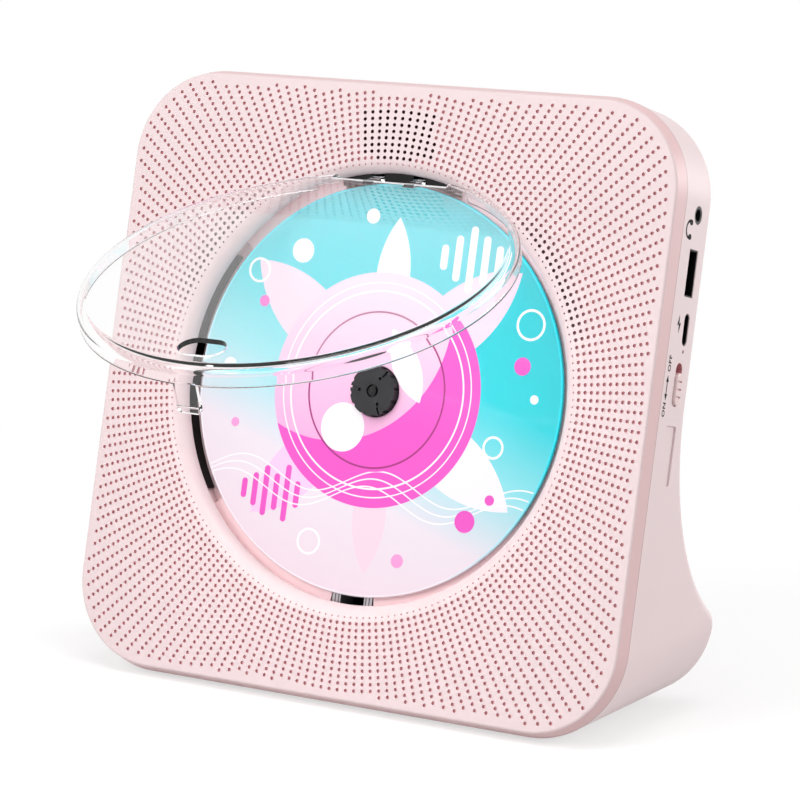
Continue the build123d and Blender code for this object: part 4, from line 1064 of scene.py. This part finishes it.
# ================================================================ disc
def build_disc():
    """Disc with eased edges and a fine moulded stacking ring."""
    top = DISC_SEAT + DISC_THICKNESS
    groove = 0.12
    profile = [
        (DISC_HOLE, DISC_SEAT + DISC_EDGE),
        (DISC_HOLE + DISC_EDGE, DISC_SEAT),
        (DISC_RADIUS - DISC_EDGE, DISC_SEAT),
        (DISC_RADIUS, DISC_SEAT + DISC_EDGE),
        (DISC_RADIUS, top - DISC_EDGE),
        (DISC_RADIUS - DISC_EDGE, top),
        (STACKING_RING + 0.5, top),
        (STACKING_RING, top - groove),
        (STACKING_RING - 0.5, top),
        (DISC_HOLE + DISC_EDGE, top),
        (DISC_HOLE, top - DISC_EDGE),
    ]
    steps = 180
    loops = []
    for radius, level in profile:
        turns = [2 * pi * step / steps for step in range(steps)]
        loops.append([(radius * cos(turn), radius * sin(turn), level) for turn in turns])
    disc = piece_from("printed_compact_disc", loops_mesh("disc", loops), FINISHES["disc_print"])
    disc.data.transform(PANEL)
    return mount(smooth(disc, 30.0), "compact_disc")


# ================================================================ lid
def build_lid():
    """Clear dish with a rounded shoulder, notch, finger hole, two lugs and a tab."""
    inside = LID_RADIUS - LID_SKIRT
    inner_corner = LID_CORNER / 2
    profile = arc(LID_RADIUS - LID_CORNER, LID_TOP - LID_CORNER, LID_CORNER, 90, 0, 9)
    profile += arc(LID_RADIUS - LID_EASE, LID_RIM + LID_EASE, LID_EASE, 0, -90, 3)
    profile += arc(inside + LID_EASE, LID_RIM + LID_EASE, LID_EASE, -90, -180, 3)
    profile += arc(inside - inner_corner, LID_UNDER - inner_corner, inner_corner, 0, 90, 6)
    steps = 288
    loops = []
    for radius, level in profile:
        turns = [2 * pi * step / steps for step in range(steps)]
        loops.append([(radius * cos(turn), radius * sin(turn), level) for turn in turns])
    lid = piece_from("clear_lid", loops_mesh("clear_lid", loops, True), FINISHES["lid_clear"])

    # notch round the hinge cover, with a shorter skirt on both sides of it
    beyond = 2 * LID_RADIUS
    relief_inside = LID_RADIUS - LID_CORNER - 1.0
    inner_turns = arc(0.0, 0.0, relief_inside, 90 - RELIEF_TURN, 90 + RELIEF_TURN, 30)
    outer_turns = arc(0.0, 0.0, beyond, 90 + RELIEF_TURN, 90 - RELIEF_TURN, 30)
    combine(lid, "DIFFERENCE", prism(inner_turns + outer_turns, LID_RIM - 1.0, RELIEF_LEVEL))
    half = NOTCH_HALF_WIDTH
    notch = [(-half, NOTCH_EDGE), (half, NOTCH_EDGE), (half, beyond), (-half, beyond)]
    combine(lid, "DIFFERENCE", prism(notch, LID_RIM - 1.0, LID_TOP + 1.0))

    # finger hole
    length, width = FINGER_HOLE
    reach = (length - width) / 2
    slot = arc(reach, FINGER_HOLE_V, width / 2, -90, 90, 24)
    slot += arc(-reach, FINGER_HOLE_V, width / 2, 90, 270, 24)
    combine(lid, "DIFFERENCE", prism(slot, LID_UNDER - 1.0, LID_TOP + 1.0))

    # lugs that turn on the hinge pins
    knuckle = 1.25
    root = 0.8
    root_v = NOTCH_EDGE - 1.0
    root_level = LID_UNDER + 0.5
    lug = arc(HINGE_V, HINGE_W, knuckle, -106, 74, 16)
    lug += arc(root_v, root_level, root, 74, 254, 8)
    pin_hole = arc(HINGE_V, HINGE_W, PIN_HOLE_RADIUS, 0, 345, 23)
    for side in (-1, 1):
        low = side * LUG_MIDDLE - LUG_WIDTH / 2
        combine(lid, "UNION", prism(lug, low, low + LUG_WIDTH, "x"))
        combine(lid, "DIFFERENCE", prism(pin_hole, low - 1.0, low + LUG_WIDTH + 1.0, "x"))

    # latch tab with rounded corners and its small catch
    edge = TAB_WIDTH / 2
    corner = TAB_CORNER
    tab = [(edge, LID_RIM + 1.0), (-edge, LID_RIM + 1.0)]
    tab += arc(corner - edge, TAB_END + corner, corner, 180, 270, 6)
    tab += arc(edge - corner, TAB_END + corner, corner, 270, 360, 6)
    combine(lid, "UNION", prism(tab, -LID_RADIUS, TAB_THICKNESS - LID_RADIUS, "y"))
    catch = arc(-LID_RADIUS, TAB_END + CATCH_RISE, CATCH_RADIUS, 0, 330, 11)
    combine(lid, "UNION", prism(catch, -edge, edge, "x"))

    # painted reflection: the notch's straight edge is black, like the hinge cover behind it, for
    # the dark reflection in the clear edge
    lid.data.materials.append(gloss_black)
    for face in lid.data.polygons:
        middle = face.center
        if abs(middle.y - NOTCH_EDGE) < 0.01 and abs(middle.x) < half:
            face.material_index = 1
    lid.data.transform(PANEL @ SWING)
    return mount(smooth(lid, 35.0), "lid")


# ================================================================ marks on the right wall
def text_mesh(words, size):
    """Flat mesh of plain lettering, centred on the origin."""
    curve = bpy.data.curves.new(words, "FONT")
    curve.body = words
    curve.size = size
    curve.offset = 0.08
    curve.space_character = 1.12
    curve.align_x = "CENTER"
    curve.align_y = "CENTER"
    holder = bpy.data.objects.new(words, curve)
    bpy.context.scene.collection.objects.link(holder)
    bpy.context.view_layer.update()
    evaluated = holder.evaluated_get(bpy.context.evaluated_depsgraph_get())
    mesh = bpy.data.meshes.new_from_object(evaluated)
    bpy.data.objects.remove(holder)
    return mesh


def flat_mesh(name, outlines):
    """Flat mesh of filled outlines, each a list of (x, y) points."""
    mesh = bpy.data.meshes.new(name)
    points = []
    faces = []
    for outline in outlines:
        start = len(points)
        points += [(x, y, 0.0) for x, y in outline]
        faces.append(tuple(range(start, len(points))))
    mesh.from_pydata(points, [], faces)
    return mesh


def build_mark(name, mesh, v, w):
    """Ink mark on the right wall, its middle at (v, w)."""
    mesh.transform(Matrix.Translation((v, w, WALL_OUTSIDE + MARK_PROUD)))
    mesh.transform(SIDE)
    mark = piece_from(name, mesh, mark_ink)
    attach(mark, "case")
    return mark


def arrow_outline(length, head, half_head, half_line):
    """Line with a point at each end, along x."""
    half = length / 2
    return [
        (-half, 0.0),
        (head - half, -half_head),
        (head - half, -half_line),
        (half - head, -half_line),
        (half - head, -half_head),
        (half, 0.0),
        (half - head, half_head),
        (half - head, half_line),
        (head - half, half_line),
        (head - half, half_head),
    ]


def headphone_outlines(size, line):
    """Headband arc over two ear cups."""
    outer = size / 2
    inner = outer - line
    steps = 20
    band = []
    for radius, turns in ((outer, range(steps + 1)), (inner, range(steps, -1, -1))):
        for step in turns:
            turn = pi * step / steps
            band.append((radius * cos(turn), radius * sin(turn)))
    cups = []
    for side in (-1, 1):
        middle = side * (outer - line)
        cup = []
        for step in range(steps):
            turn = 2 * pi * step / steps
            cup.append((middle + 0.85 * cos(turn), 1.15 * sin(turn) - 0.55))
        cups.append(cup)
    return [band] + cups


def build_marks():
    build_mark("mark_on", text_mesh("ON", LETTER_HEIGHT), 4.6, -7.7)
    build_mark("mark_off", text_mesh("OFF", LETTER_HEIGHT), 17.6, -8.1)
    arrow = flat_mesh("arrow", [arrow_outline(7.2, 1.9, 0.95, 0.28)])
    build_mark("mark_arrow", arrow, 10.7, -7.8)
    headphones = flat_mesh("headphones", headphone_outlines(5.6, 0.75))
    build_mark("mark_headphones", headphones, 55.4, -9.9)
    bolt = [(2.7, 0.2), (-0.5, 1.25), (-0.1, 0.25), (-2.7, -0.2), (0.5, -1.25), (0.1, -0.25)]
    build_mark("mark_charging", flat_mesh("bolt", [bolt]), 28.9, -10.8)


# ================================================================ camera and light
def build_camera():
    """Long lens from the front right, slightly above, with a small roll."""
    place = Vector((0.42681, -0.78947, 0.22402))
    forward = Vector((-0.47046, 0.86923, -0.15198)).normalized()
    right = Vector((0.87590, 0.48091, 0.03907)).normalized()
    up = right.cross(forward).normalized()
    lens = bpy.data.cameras.new("camera")
    lens.sensor_width = 36.0
    lens.lens = 138.08
    lens.clip_start = 0.05
    camera = bpy.data.objects.new("camera", lens)
    bpy.context.scene.collection.objects.link(camera)
    turn = Matrix((right, up, -forward)).transposed()
    camera.matrix_world = Matrix.Translation(place) @ turn.to_4x4()
    bpy.context.scene.camera = camera


def area_light(name, place, size, power):
    """Soft box that faces the object."""
    lamp = bpy.data.lights.new(name, "AREA")
    lamp.shape = "RECTANGLE"
    lamp.size, lamp.size_y = size
    lamp.energy = power
    holder = bpy.data.objects.new(name, lamp)
    bpy.context.scene.collection.objects.link(holder)
    direction = Vector(LIGHTS_AIM) - Vector(place)
    turn = direction.to_track_quat("-Z", "Y")
    holder.matrix_world = Matrix.Translation(place) @ turn.to_matrix().to_4x4()


def build_stage():
    """Pale floor, four soft boxes, and a room that reads white wherever it is seen."""
    mesh = bpy.data.meshes.new("floor")
    half = FLOOR_SIZE / 2
    corners = [(-half, -half, 0.0), (half, -half, 0.0), (half, half, 0.0), (-half, half, 0.0)]
    mesh.from_pydata(corners, [], [(0, 1, 2, 3)])
    piece_from("floor", mesh, stage_white("floor_white"))
    for light in LIGHTS:
        area_light(*light)
    world = bpy.data.worlds.new("studio")
    bpy.context.scene.world = world
    world.use_nodes = True
    nodes = world.node_tree.nodes
    links = world.node_tree.links
    nodes.clear()
    path = nodes.new("ShaderNodeLightPath")
    strength = ROOM_LIGHT
    for ray in ("Is Glossy Ray", "Is Transmission Ray", "Is Camera Ray"):
        pick = nodes.new("ShaderNodeMix")
        links.new(path.outputs[ray], pick.inputs["Factor"])
        pick.inputs["B"].default_value = 1.0
        if isinstance(strength, float):
            pick.inputs["A"].default_value = strength
        else:
            links.new(strength, pick.inputs["A"])
        strength = pick.outputs["Result"]
    background = nodes.new("ShaderNodeBackground")
    background.inputs["Color"].default_value = WHITE
    links.new(strength, background.inputs["Strength"])
    output = nodes.new("ShaderNodeOutputWorld")
    links.new(background.outputs[0], output.inputs["Surface"])


# ================================================================ assembly
build_front()
build_step()
build_disc()
shaped_copy("rear_shell", shell_satin)
# the well takes the lighter pink: painted light
shaped_copy("disc_well", well_pink_painted_light)
shaped_copy("base_cover")
build_lid()
for glossy in ("hinge_cover", "bay_trim_left", "bay_trim_right"):
    shaped_copy(glossy, gloss_black)
shaped_copy("latch_receiver", latch_black)
shaped_copy("charge_light", light_rose)
shaped_copy("spindle_hub", hub_black)
for port in ("usb_a_socket", "usb_c_socket"):
    # the sockets take the near-black metal: painted shade
    shaped_copy(port, port_painted_shade)
for black in ("aux_jack", "speaker_left", "speaker_right", "cone_left", "cone_right"):
    shaped_copy(black)
for button in ("volume_down", "volume_up", "next", "back", "play"):
    shaped_copy("button_" + button)
for small in ("power_knob", "rubber_feet"):
    shaped_copy(small)
for node, part in frame["nodes"].items():
    part.data.materials.clear()
    part.data.materials.append(FINISHES[SLOT_OF[node]])
build_marks()
build_camera()
build_stage()
bpy.context.scene.view_settings.view_transform = "Standard"
